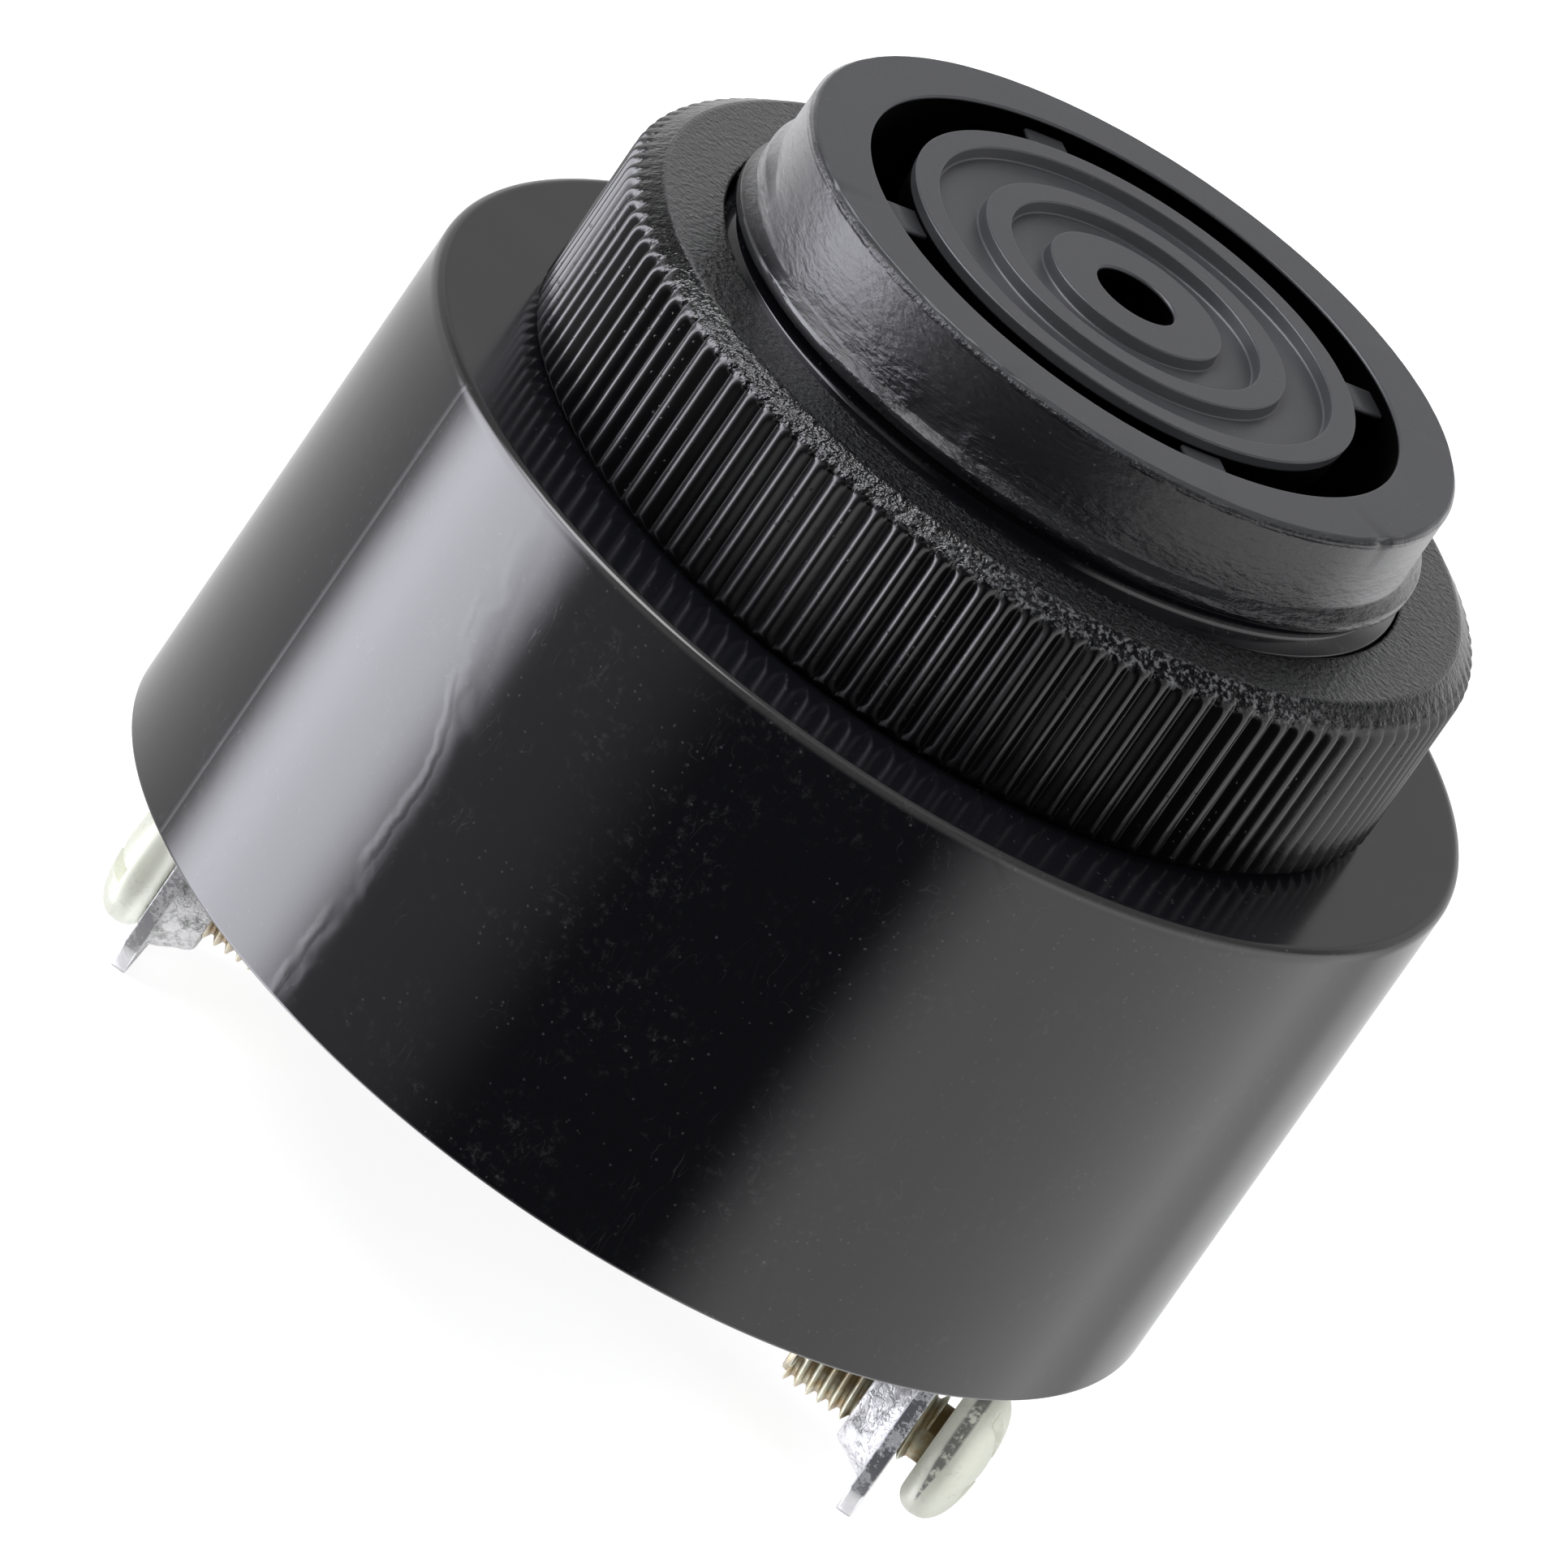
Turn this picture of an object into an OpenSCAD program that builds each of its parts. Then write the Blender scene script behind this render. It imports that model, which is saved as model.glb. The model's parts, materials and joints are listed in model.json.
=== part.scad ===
// Panel-mount piezo buzzer with a threaded neck, a knurled ring nut and two screw terminals.
// Millimetres. The origin is the centre of the shoulder that seats on the panel.
// +Z points out of the sound outlet, and X runs through the two terminal screws.

/* [Housing] */
// Outer diameter of the round housing
housing_d = 43; // [38:0.5:50]
// Depth of the housing behind the shoulder
housing_len = 20.9; // [18:0.1:30]
// Side wall of the housing in front of the board
wall = 2.6; // [1.6:0.1:4]
// Side wall behind the step that the board seats on
rear_wall = 1.6; // [1:0.1:2.4]
// Thickness of the shoulder plate
shoulder_t = 2; // [1.2:0.1:3]
// Rounding of the shoulder's outer edge
edge_r = 0.4; // [0.2:0.1:1]
// Chamfer inside the rear rim
rim_chamfer = 0.3; // [0.1:0.1:0.6]

/* [Neck] */
// Crest diameter of the neck's thread
thread_d = 28.1; // [25:0.1:32]
// Thread pitch
thread_pitch = 1.5; // [1:0.25:2]
// Thread depth
thread_depth = 0.6; // [0.4:0.1:0.8]
// Height of the last thread crest above the shoulder
thread_end = 9.4; // [8:0.1:10.5]
// Diameter of the smooth collar at the outlet
collar_d = 27; // [22:0.1:30]
// Chamfer round the collar's face
collar_chamfer = 0.2; // [0.1:0.05:0.5]
// Height of the neck above the shoulder
neck_len = 12.3; // [11:0.1:16]
// Bore of the neck, which is the slot's outer edge
neck_bore_d = 22.1; // [18:0.1:23]

/* [Grille] */
// Diameter of the centre disc
disc_d = 18.4; // [14:0.1:20]
// Thickness of the centre disc
disc_t = 1.5; // [1:0.1:3]
// Radial width of the disc's raised rim
rim_w = 1; // [0.5:0.1:1.4]
// Outer diameter of the middle ring
ring_d = 12.5; // [10:0.1:14]
// Radial width of the middle ring
ring_w = 1.05; // [0.5:0.05:1.5]
// Diameter of the hub
hub_d = 7.1; // [5:0.1:8]
// Diameter of the centre hole
hole_d = 3.25; // [2:0.05:4.5]
// Depth of the grooves between the rings
groove_depth = 0.5; // [0.2:0.05:0.9]
// Width of each spoke
spoke_w = 1.7; // [1:0.1:3]
// Drop of the spokes below the face
spoke_drop = 0.5; // [0.2:0.1:1]
// Thickness of each spoke
spoke_t = 1; // [0.6:0.1:2]
// Number of spokes
spoke_count = 4; // [3:1:6]
// Turn of the first spoke from X
spoke_angle = 34.5; // [0:0.5:89]

/* [Ring nut] */
// Diameter over the knurl's ridges
nut_d = 35.4; // [33:0.1:39]
// Height of the nut
nut_h = 7.5; // [5:0.1:8]
// Radial clearance of the nut on the thread's crest
nut_clear = 0.08; // [0.05:0.01:0.3]
// Number of knurl ridges
knurl_count = 120; // [60:1:140]
// Depth of the knurl
knurl_depth = 0.3; // [0.15:0.05:0.5]
// Radius of the flat top's outer edge
nut_flat_r = 16.6; // [15.5:0.1:17]
// Turn of the nut from the start of its thread
nut_turn = -1; // [-3:0.5:3]
// Height of the sloping band below the flat top
nut_slope_h = 0.75; // [0.4:0.05:1.5]
// Chamfer at the nut's foot
nut_foot = 0.5; // [0.2:0.05:1]
// Chamfer at the mouths of the nut's bore
nut_mouth = 0.1; // [0.05:0.05:0.6]

/* [Terminals] */
// Distance from the housing's rear side wall to a blade's outer face
blade_inset = 3.3; // [2.8:0.05:5]
// Thickness of a blade
blade_t = 0.6; // [0.4:0.1:1]
// Width of a blade
blade_w = 6.3; // [5:0.1:8]
// Reach of the blades behind the rear rim
blade_reach = 10.15; // [9:0.05:15]
// Offset of each blade to its own side of the X axis
blade_shift = 1.1; // [0:0.1:3]
// Distance from a blade's tip to its screw axis
screw_from_tip = 3.55; // [3.2:0.05:6]
// Width cut from each corner of a blade's tip
tip_chamfer = 0.8; // [0.2:0.1:1.5]
// Height of the slant that cuts it
tip_taper = 1.4; // [0.2:0.1:2]
// Width of the tail that passes through the board
tail_w = 2.4; // [1.5:0.1:4]
// Height of the tail in front of the board
tail_h = 1.2; // [0.6:0.1:2.5]
// Length of the drawn collar on a blade's inner side
collar_len = 1.5; // [0.8:0.1:2.5]
// Outer radius at the end of the drawn collar
collar_tip_r = 2.1; // [1.8:0.05:2.6]
// Outer radius where the drawn collar leaves the blade
collar_root_r = 2.95; // [2.2:0.05:3.1]

/* [Screws] */
// Thread diameter of the terminal screws
screw_d = 3; // [2.5:0.1:4]
// Length under the head
screw_len = 6; // [5:0.5:10]
// Diameter of the pan head
head_d = 5.6; // [4.5:0.1:6.2]
// Height of the pan head
head_h = 2.1; // [1.4:0.1:3]
// Width of the driver slot
slot_w = 0.8; // [0.5:0.1:1.2]
// Depth of the driver slot
slot_depth = 1; // [0.5:0.1:1.3]
// Gap under the head of the screw that stands backed out
backed_out = 0.85; // [0:0.05:3]
// Radial clearance of a screw in its tapped collar
screw_clear = 0.05; // [0.02:0.01:0.1]

/* [Sounder] */
// Radial gap between the brass plate and the side wall
plate_gap = 1.4; // [0.5:0.1:2]
// Thickness of the brass plate
plate_t = 0.3; // [0.2:0.05:0.5]
// Radial width of bare brass round the ceramic disc
ceramic_inset = 5; // [3:0.5:8]
// Thickness of the ceramic disc
ceramic_t = 0.25; // [0.15:0.05:0.5]
// Height of the moulded seat under the shoulder
seat_h = 0.8; // [0.4:0.1:1.5]
// Radial width of the moulded seat
seat_w = 1.8; // [1:0.1:2.4]
// Thickness of the silicone ring on the seat
cushion_t = 0.7; // [0.4:0.1:1.2]

/* [Board] */
// Thickness of the circuit board
board_t = 1.6; // [1:0.1:2]
// Depth of the epoxy behind the board
potting_t = 1.7; // [1:0.1:3]
// Depth of the epoxy's face below the rear rim
potting_drop = 0.6; // [0.2:0.1:1.5]
// Radial gap of the board and the epoxy in the housing
board_gap = 0.05; // [0.02:0.01:0.3]
// Spacing of the board's hole grid
hole_grid = 2.54; // [2:0.02:2.54]
// Stand of the axial components above the board
axial_stand = 0.15; // [0.05:0.05:0.5]
// Radius of a component's round lead
lead_r = 0.3; // [0.2:0.05:0.4]
// Radial clearance of a lead in its board hole
lead_clear = 0.1; // [0.05:0.05:0.2]

/* [Components] */
// Radius of the choke's flanges
choke_r = 4; // [3:0.1:5]
// Height of the choke
choke_h = 8; // [5:0.5:10]
// Thickness of each choke flange
flange_t = 1; // [0.6:0.1:1.5]
// Radius of the capacitor's can
can_r = 3.15; // [2:0.05:4]
// Height of the capacitor's can
can_h = 9; // [5:0.5:10.5]
// Radius of the transistor's round side
case_r = 2.35; // [2:0.05:3]
// Height of the transistor's case
case_h = 4.6; // [3.5:0.1:6]
// Stand of the transistor's case above the board
case_stand = 2.5; // [1:0.1:4]
// Length of a resistor's body
resistor_len = 6.2; // [4:0.1:8]
// Radius of a resistor's end caps
resistor_r = 1.15; // [0.8:0.05:1.4]
// Length of the diode's body
diode_len = 5; // [4:0.1:7]
// Radius of the diode's body
diode_r = 1.3; // [1:0.05:1.5]
// Reach of an axial lead beyond its body
lead_reach = 1.6; // [1:0.1:3]
// Distance of the ceramic's wire from the ceramic's edge
wire_inset = 1.5; // [1:0.1:5]
// Radius of the wires to the sounder
wire_r = 0.4; // [0.25:0.05:0.6]

/* [Hidden] */
$fn = 96;
eps = 0.05;
// One ridge of the knurl is an arch drawn with this many flats
knurl_flats = 5;

// Housing and neck
housing_r = housing_d / 2;
rear_z = -housing_len;
thread_r = thread_d / 2;
root_r = thread_r - thread_depth;
collar_r = collar_d / 2;
neck_r = neck_bore_d / 2;
disc_r = disc_d / 2;
crest_w = thread_pitch * 0.3;
thread_turns = floor((thread_end - crest_w) / thread_pitch);

// Stack behind the shoulder, from front to back
seat_z = -shoulder_t - seat_h;
plate_top = seat_z - cushion_t;
plate_back = plate_top - plate_t;
ceramic_back = plate_back - ceramic_t;
potting_back = rear_z + potting_drop;
board_back = potting_back + potting_t;
board_front = board_back + board_t;
front_bore_r = housing_r - wall;
rear_bore_r = housing_r - rear_wall;
plate_r = front_bore_r - plate_gap;
ceramic_r = plate_r - ceramic_inset;

// Ring nut
nut_r = nut_d / 2;
nut_bore_r = thread_r + nut_clear;

// Terminals
blade_x = rear_bore_r - blade_inset;
blade_tip = rear_z - blade_reach;
screw_z = blade_tip + screw_from_tip;
screw_r = screw_d / 2;
tapped_r = screw_r + screw_clear;
head_r = head_d / 2;

// Where the components stand on the board, on its hole grid
choke_at = [-3 * hole_grid, 2.5 * hole_grid];
can_at = [3 * hole_grid, 3 * hole_grid];
case_at = [0, -0.5 * hole_grid];
axial = [
    // x, y, turn of the part's long axis
    [-3 * hole_grid, -2.5 * hole_grid, 90],
    [-1.5 * hole_grid, -3.5 * hole_grid, 90],
    [2 * hole_grid, -4 * hole_grid, 0],
    [3.5 * hole_grid, -hole_grid, 0]
];
wire_at = [
    [0, ceramic_r + ceramic_inset / 2],
    [0, ceramic_r - wire_inset],
    [1.5 * hole_grid, 1.5 * hole_grid]
];
case_leads = [-hole_grid, 0, hole_grid];

// ---- Housing ---------------------------------------------------------------

// Outline of the solid cup and neck, before it is hollowed.
module body_outline() {
    rotate_extrude() {
        polygon([
            [0, rear_z],
            [housing_r, rear_z],
            [housing_r, -edge_r],
            [housing_r - edge_r, -edge_r],
            [housing_r - edge_r, 0],
            [0, 0]
        ]);
        translate([housing_r - edge_r, -edge_r])
            circle(r = edge_r);
        square([root_r, thread_end + crest_w]);
        polygon([
            [0, thread_end],
            [collar_r, thread_end],
            [collar_r, neck_len - collar_chamfer],
            [collar_r - collar_chamfer, neck_len],
            [0, neck_len]
        ]);
    }
}

// One thread crest as a ring, with a flat top and sloping flanks.
module thread_ring() {
    rotate_extrude()
        polygon([
            [root_r - eps, -thread_pitch / 2],
            [root_r, -thread_pitch / 2 + crest_w / 2],
            [thread_r, -crest_w / 2],
            [thread_r, crest_w / 2],
            [root_r, thread_pitch / 2 - crest_w / 2],
            [root_r - eps, thread_pitch / 2]
        ]);
}

module cup_hollow() {
    rotate_extrude()
        polygon([
            [0, -shoulder_t],
            [front_bore_r, -shoulder_t],
            [front_bore_r, board_front],
            [rear_bore_r, board_front],
            [rear_bore_r, rear_z + rim_chamfer],
            [rear_bore_r + rim_chamfer, rear_z],
            [rear_bore_r + rim_chamfer, rear_z - eps],
            [0, rear_z - eps]
        ]);
}

module sounder_seat() {
    rotate_extrude()
        translate([plate_r - seat_w, seat_z])
            square([seat_w, seat_h + eps]);
}

// Section of the centre disc: rim, middle ring and hub stand above the grooves.
module grille_disc() {
    rotate_extrude()
        polygon([
            [hole_d / 2, neck_len - disc_t],
            [disc_r - 0.15, neck_len - disc_t],
            [disc_r, neck_len],
            [disc_r - rim_w, neck_len],
            [disc_r - rim_w, neck_len - groove_depth],
            [ring_d / 2, neck_len - groove_depth],
            [ring_d / 2, neck_len],
            [ring_d / 2 - ring_w, neck_len],
            [ring_d / 2 - ring_w, neck_len - groove_depth],
            [hub_d / 2, neck_len - groove_depth],
            [hub_d / 2, neck_len],
            [hole_d / 2, neck_len]
        ]);
}

module spoke() {
    translate([disc_r - rim_w, -spoke_w / 2, neck_len - spoke_drop - spoke_t])
        cube([neck_r - disc_r + rim_w + eps, spoke_w, spoke_t]);
}

module housing() {
    color("#1d1d20") {
        difference() {
            union() {
                body_outline();
                for (i = [0 : thread_turns - 1])
                    translate([0, 0, thread_end - i * thread_pitch])
                        thread_ring();
            }
            cup_hollow();
            translate([0, 0, -shoulder_t - eps])
                cylinder(r = neck_r, h = neck_len + shoulder_t + 2 * eps);
        }
        sounder_seat();
        grille_disc();
        for (i = [0 : spoke_count - 1])
            rotate([0, 0, spoke_angle + i * 360 / spoke_count])
                spoke();
    }
}

// ---- Ring nut --------------------------------------------------------------

// Height of the knurl's arch at a share f of one ridge, from valley to valley.
function arch(f) = nut_r - knurl_depth + knurl_depth * sin(180 * f);
function knurl_outline() = [
    for (i = [0 : knurl_count - 1])
        for (j = [0 : knurl_flats - 1])
            let (a = (i + j / knurl_flats) * 360 / knurl_count)
            arch(j / knurl_flats) * [cos(a), sin(a)]
];

module nut_envelope() {
    slope = (nut_r - nut_flat_r) / nut_slope_h;
    rotate_extrude()
        polygon([
            [nut_bore_r + nut_mouth, 0],
            [nut_r - nut_foot / 2, 0],
            [nut_r + eps, nut_foot],
            [nut_r + eps, nut_h - nut_slope_h + eps / slope],
            [nut_flat_r, nut_h],
            [nut_bore_r + nut_mouth, nut_h],
            [nut_bore_r, nut_h - nut_mouth],
            [nut_bore_r, nut_mouth]
        ]);
}

module ring_nut() {
    color("#2a2a2d")
        intersection() {
            rotate([0, 0, nut_turn])
                linear_extrude(height = nut_h)
                    polygon(knurl_outline());
            nut_envelope();
        }
}

// ---- Sounder ---------------------------------------------------------------

module support_ring() {
    color("#c9c5bd")
        translate([0, 0, plate_top])
            difference() {
                cylinder(r = plate_r, h = cushion_t);
                translate([0, 0, -eps])
                    cylinder(r = plate_r - seat_w, h = cushion_t + 2 * eps);
            }
}

module piezo_plate() {
    color("#c9a44c")
        translate([0, 0, plate_back])
            cylinder(r = plate_r, h = plate_t);
}

module piezo_ceramic() {
    color("#d9d4c6")
        translate([0, 0, ceramic_back])
            cylinder(r = ceramic_r, h = ceramic_t);
}

// ---- Terminals and screws --------------------------------------------------

// The blade on +X, with its outer face at blade_x and its drawn collar inwards.
module blade() {
    difference() {
        union() {
            translate([blade_x - blade_t, 0, 0])
                rotate([90, 0, 90])
                    linear_extrude(height = blade_t)
                        blade_outline();
            translate([blade_x - blade_t, 0, screw_z])
                rotate([0, -90, 0])
                    rotate_extrude()
                        polygon([
                            [0, -eps],
                            [collar_root_r, -eps],
                            [collar_root_r, 0],
                            [(collar_root_r + 3 * collar_tip_r) / 4, collar_len * 0.3],
                            [collar_tip_r, collar_len],
                            [0, collar_len]
                        ]);
        }
        translate([blade_x + eps, 0, screw_z])
            rotate([0, -90, 0])
                cylinder(r = tapped_r, h = blade_t + collar_len + 2 * eps);
    }
}

module blade_outline() {
    polygon([
        [-blade_w / 2, board_back],
        [-blade_w / 2, blade_tip + tip_taper],
        [-blade_w / 2 + tip_chamfer, blade_tip],
        [blade_w / 2 - tip_chamfer, blade_tip],
        [blade_w / 2, blade_tip + tip_taper],
        [blade_w / 2, board_back],
        [tail_w / 2, board_back],
        [tail_w / 2, board_front + tail_h],
        [-tail_w / 2, board_front + tail_h],
        [-tail_w / 2, board_back]
    ]);
}

module on_right() {
    translate([0, -blade_shift, 0])
        children();
}

module on_left() {
    rotate([0, 0, 180])
        on_right()
            children();
}

module terminal_right() {
    color("#b9b8b2")
        on_right()
            blade();
}

module terminal_left() {
    color("#b9b8b2")
        on_left()
            blade();
}

// A pan-head screw along X with its head outwards, lifted by gap from the blade.
module terminal_screw(gap) {
    translate([blade_x + gap, 0, screw_z])
        rotate([0, 90, 0])
            difference() {
                union() {
                    translate([0, 0, -screw_len])
                        cylinder(r = screw_r, h = screw_len + eps);
                    pan_head();
                }
                translate([-head_r - eps, -slot_w / 2, head_h - slot_depth])
                    cube([2 * (head_r + eps), slot_w, slot_depth + eps]);
                translate([-slot_w / 2, -head_r * 0.6, head_h - slot_depth])
                    cube([slot_w, head_r * 1.2, slot_depth + eps]);
            }
}

module pan_head() {
    rotate_extrude()
        intersection() {
            translate([0, head_h * 0.5])
                scale([1, 1])
                    pan_outline();
            square([head_r, head_h]);
        }
}

// Half of the head's section about its mid height.
module pan_outline() {
    polygon([
        [0, -head_h / 2],
        [head_r - 0.25, -head_h / 2],
        [head_r, -head_h / 2 + 0.25],
        [head_r, -head_h * 0.05],
        [head_r * 0.955, head_h * 0.15],
        [head_r * 0.86, head_h * 0.32],
        [head_r * 0.7, head_h * 0.43],
        [head_r * 0.45, head_h * 0.49],
        [0, head_h / 2]
    ]);
}

module screw_right() {
    color("#cfcdc0")
        on_right()
            terminal_screw(backed_out);
}

module screw_left() {
    color("#cfcdc0")
        on_left()
            terminal_screw(0);
}

// ---- Board, epoxy and components -------------------------------------------

// A round hole or lead from the front of the board to its back.
module through_board(r, top) {
    translate([0, 0, board_back - (top == 0 ? eps : 0)])
        cylinder(r = r, h = board_t + (top == 0 ? 2 * eps : top));
}

module board_holes() {
    r = lead_r + lead_clear;
    for (s = [-1, 1]) {
        translate([choke_at[0] + s * hole_grid, choke_at[1]])
            through_board(r, 0);
        translate([can_at[0] + s * hole_grid / 2, can_at[1]])
            through_board(r, 0);
    }
    for (x = case_leads)
        translate([case_at[0] + x, case_at[1]])
            through_board(r, 0);
    for (i = [0 : len(axial) - 1])
        on_axial(i)
            for (s = [-1, 1])
                translate([s * axial_half(i), 0])
                    through_board(r, 0);
}

module tail_slots(gap) {
    translate([blade_x - blade_t - gap, -blade_shift - tail_w / 2 - gap, board_back - eps])
        cube([blade_t + 2 * gap, tail_w + 2 * gap, board_t + 2 * eps]);
}

module circuit_board() {
    color("#3f6b45")
        difference() {
            translate([0, 0, board_back])
                cylinder(r = rear_bore_r - board_gap, h = board_t);
            board_holes();
            tail_slots(lead_clear);
            rotate([0, 0, 180])
                tail_slots(lead_clear);
        }
}

module potting() {
    color("#232326")
        difference() {
            translate([0, 0, potting_back])
                cylinder(r = rear_bore_r - board_gap, h = potting_t);
            blade_slots();
            rotate([0, 0, 180])
                blade_slots();
        }
}

module blade_slots() {
    translate([blade_x - blade_t, -blade_shift - blade_w / 2, potting_back - eps])
        cube([blade_t, blade_w, potting_t + 2 * eps]);
}

module choke_core() {
    core_r = choke_r * 0.55;
    color("#3b3a3c")
        translate([choke_at[0], choke_at[1], board_front])
            rotate_extrude()
                polygon([
                    [0, 0],
                    [choke_r, 0],
                    [choke_r, flange_t],
                    [core_r, flange_t],
                    [core_r, choke_h - flange_t],
                    [choke_r, choke_h - flange_t],
                    [choke_r, choke_h],
                    [0, choke_h]
                ]);
}

module choke_winding() {
    core_r = choke_r * 0.55;
    color("#a8642f")
        translate([choke_at[0], choke_at[1], board_front + flange_t])
            rotate_extrude()
                translate([core_r, 0])
                    square([choke_r * 0.92 - core_r, choke_h - 2 * flange_t]);
}

module choke_leads() {
    color("#c4c3bd")
        for (s = [-1, 1])
            translate([choke_at[0] + s * hole_grid, choke_at[1]])
                translate([0, 0, board_back])
                    cylinder(r = lead_r, h = board_t);
}

module capacitor() {
    color("#2b3a5a")
        translate([can_at[0], can_at[1], board_front])
            rotate_extrude()
                polygon([
                    [0, 0],
                    [can_r - 0.3, 0],
                    [can_r, 0.3],
                    [can_r, 1.2],
                    [can_r - 0.3, 1.6],
                    [can_r, 2],
                    [can_r, can_h - 0.3],
                    [can_r - 0.3, can_h],
                    [0, can_h]
                ]);
}

module capacitor_leads() {
    color("#c4c3bd")
        for (s = [-1, 1])
            translate([can_at[0] + s * hole_grid / 2, can_at[1], board_back])
                cylinder(r = lead_r, h = board_t);
}

module transistor() {
    color("#1b1b1c")
        translate([case_at[0], case_at[1], board_front + case_stand])
            difference() {
                cylinder(r = case_r + hole_grid / 2, h = case_h);
                translate([-2 * case_r - hole_grid, hole_grid * 0.6, -eps])
                    cube([4 * case_r + 2 * hole_grid, 4 * case_r, case_h + 2 * eps]);
            }
}

module transistor_leads() {
    color("#c4c3bd")
        for (x = case_leads)
            translate([case_at[0] + x, case_at[1], board_back])
                cylinder(r = lead_r, h = board_t + case_stand);
}

// Axial parts lie just above the board, and their leads bend down into it.
function axial_len(i) = i == 3 ? diode_len : resistor_len;
function axial_r(i) = i == 3 ? diode_r : resistor_r;
function axial_half(i) = axial_len(i) / 2 + lead_reach;

module on_axial(i) {
    translate([axial[i][0], axial[i][1], 0])
        rotate([0, 0, axial[i][2]])
            children();
}

module axial_leads(i) {
    lift = axial_r(i) + axial_stand;
    color("#c4c3bd")
        on_axial(i)
            for (s = [0, 180])
                rotate([0, 0, s]) {
                    translate([axial_len(i) / 2, 0, board_front + lift])
                        rotate([0, 90, 0])
                            cylinder(r = lead_r, h = lead_reach);
                    translate([axial_half(i), 0, board_front + lift])
                        sphere(r = lead_r);
                    translate([axial_half(i), 0, board_back])
                        cylinder(r = lead_r, h = board_t + lift);
                }
}

module resistor_body(i) {
    half = resistor_len / 2;
    color("#c8ab82")
        on_axial(i)
            translate([0, 0, board_front + resistor_r + axial_stand])
                rotate([0, 90, 0])
                    rotate_extrude()
                        polygon([
                            [0, -half],
                            [resistor_r * 0.7, -half],
                            [resistor_r, -half + 0.4],
                            [resistor_r, -half + 1.4],
                            [resistor_r * 0.8, -half + 1.9],
                            [resistor_r * 0.8, half - 1.9],
                            [resistor_r, half - 1.4],
                            [resistor_r, half - 0.4],
                            [resistor_r * 0.7, half],
                            [0, half]
                        ]);
}

module resistor_a() {
    resistor_body(0);
}

module resistor_a_leads() {
    axial_leads(0);
}

module resistor_b() {
    resistor_body(1);
}

module resistor_b_leads() {
    axial_leads(1);
}

module resistor_c() {
    resistor_body(2);
}

module resistor_c_leads() {
    axial_leads(2);
}

module diode() {
    color("#1f1f20")
        on_axial(3)
            translate([-diode_len / 2, 0, board_front + diode_r + axial_stand])
                rotate([0, 90, 0])
                    cylinder(r = diode_r, h = diode_len);
}

module diode_leads() {
    axial_leads(3);
}

// A wire from the board's front face to a face of the sounder.
module wire_to(i, top) {
    translate([wire_at[i][0], wire_at[i][1], board_front])
        cylinder(r = wire_r, h = top - board_front);
}

module wire_plate() {
    color("#202024")
        wire_to(0, plate_back);
}

module wire_ceramic() {
    color("#a32822")
        wire_to(1, ceramic_back);
}

module wire_feedback() {
    color("#2f5fa0")
        wire_to(2, ceramic_back);
}

housing();
ring_nut();
piezo_plate();
piezo_ceramic();
support_ring();
circuit_board();
potting();
terminal_right();
terminal_left();
screw_right();
screw_left();
choke_core();
choke_winding();
choke_leads();
capacitor();
capacitor_leads();
transistor();
transistor_leads();
resistor_a();
resistor_a_leads();
resistor_b();
resistor_b_leads();
resistor_c();
resistor_c_leads();
diode();
diode_leads();
wire_plate();
wire_ceramic();
wire_feedback();
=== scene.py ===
"""Dresses a panel-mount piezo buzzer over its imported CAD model, in a small studio."""

import json
import math
from functools import partialmethod

import bmesh
import bpy
import numpy as np
from bpy.props import FloatProperty, FloatVectorProperty, IntProperty, PointerProperty
from bpy.types import Operator, Panel, PropertyGroup
from mathutils import Matrix, Vector

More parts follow.
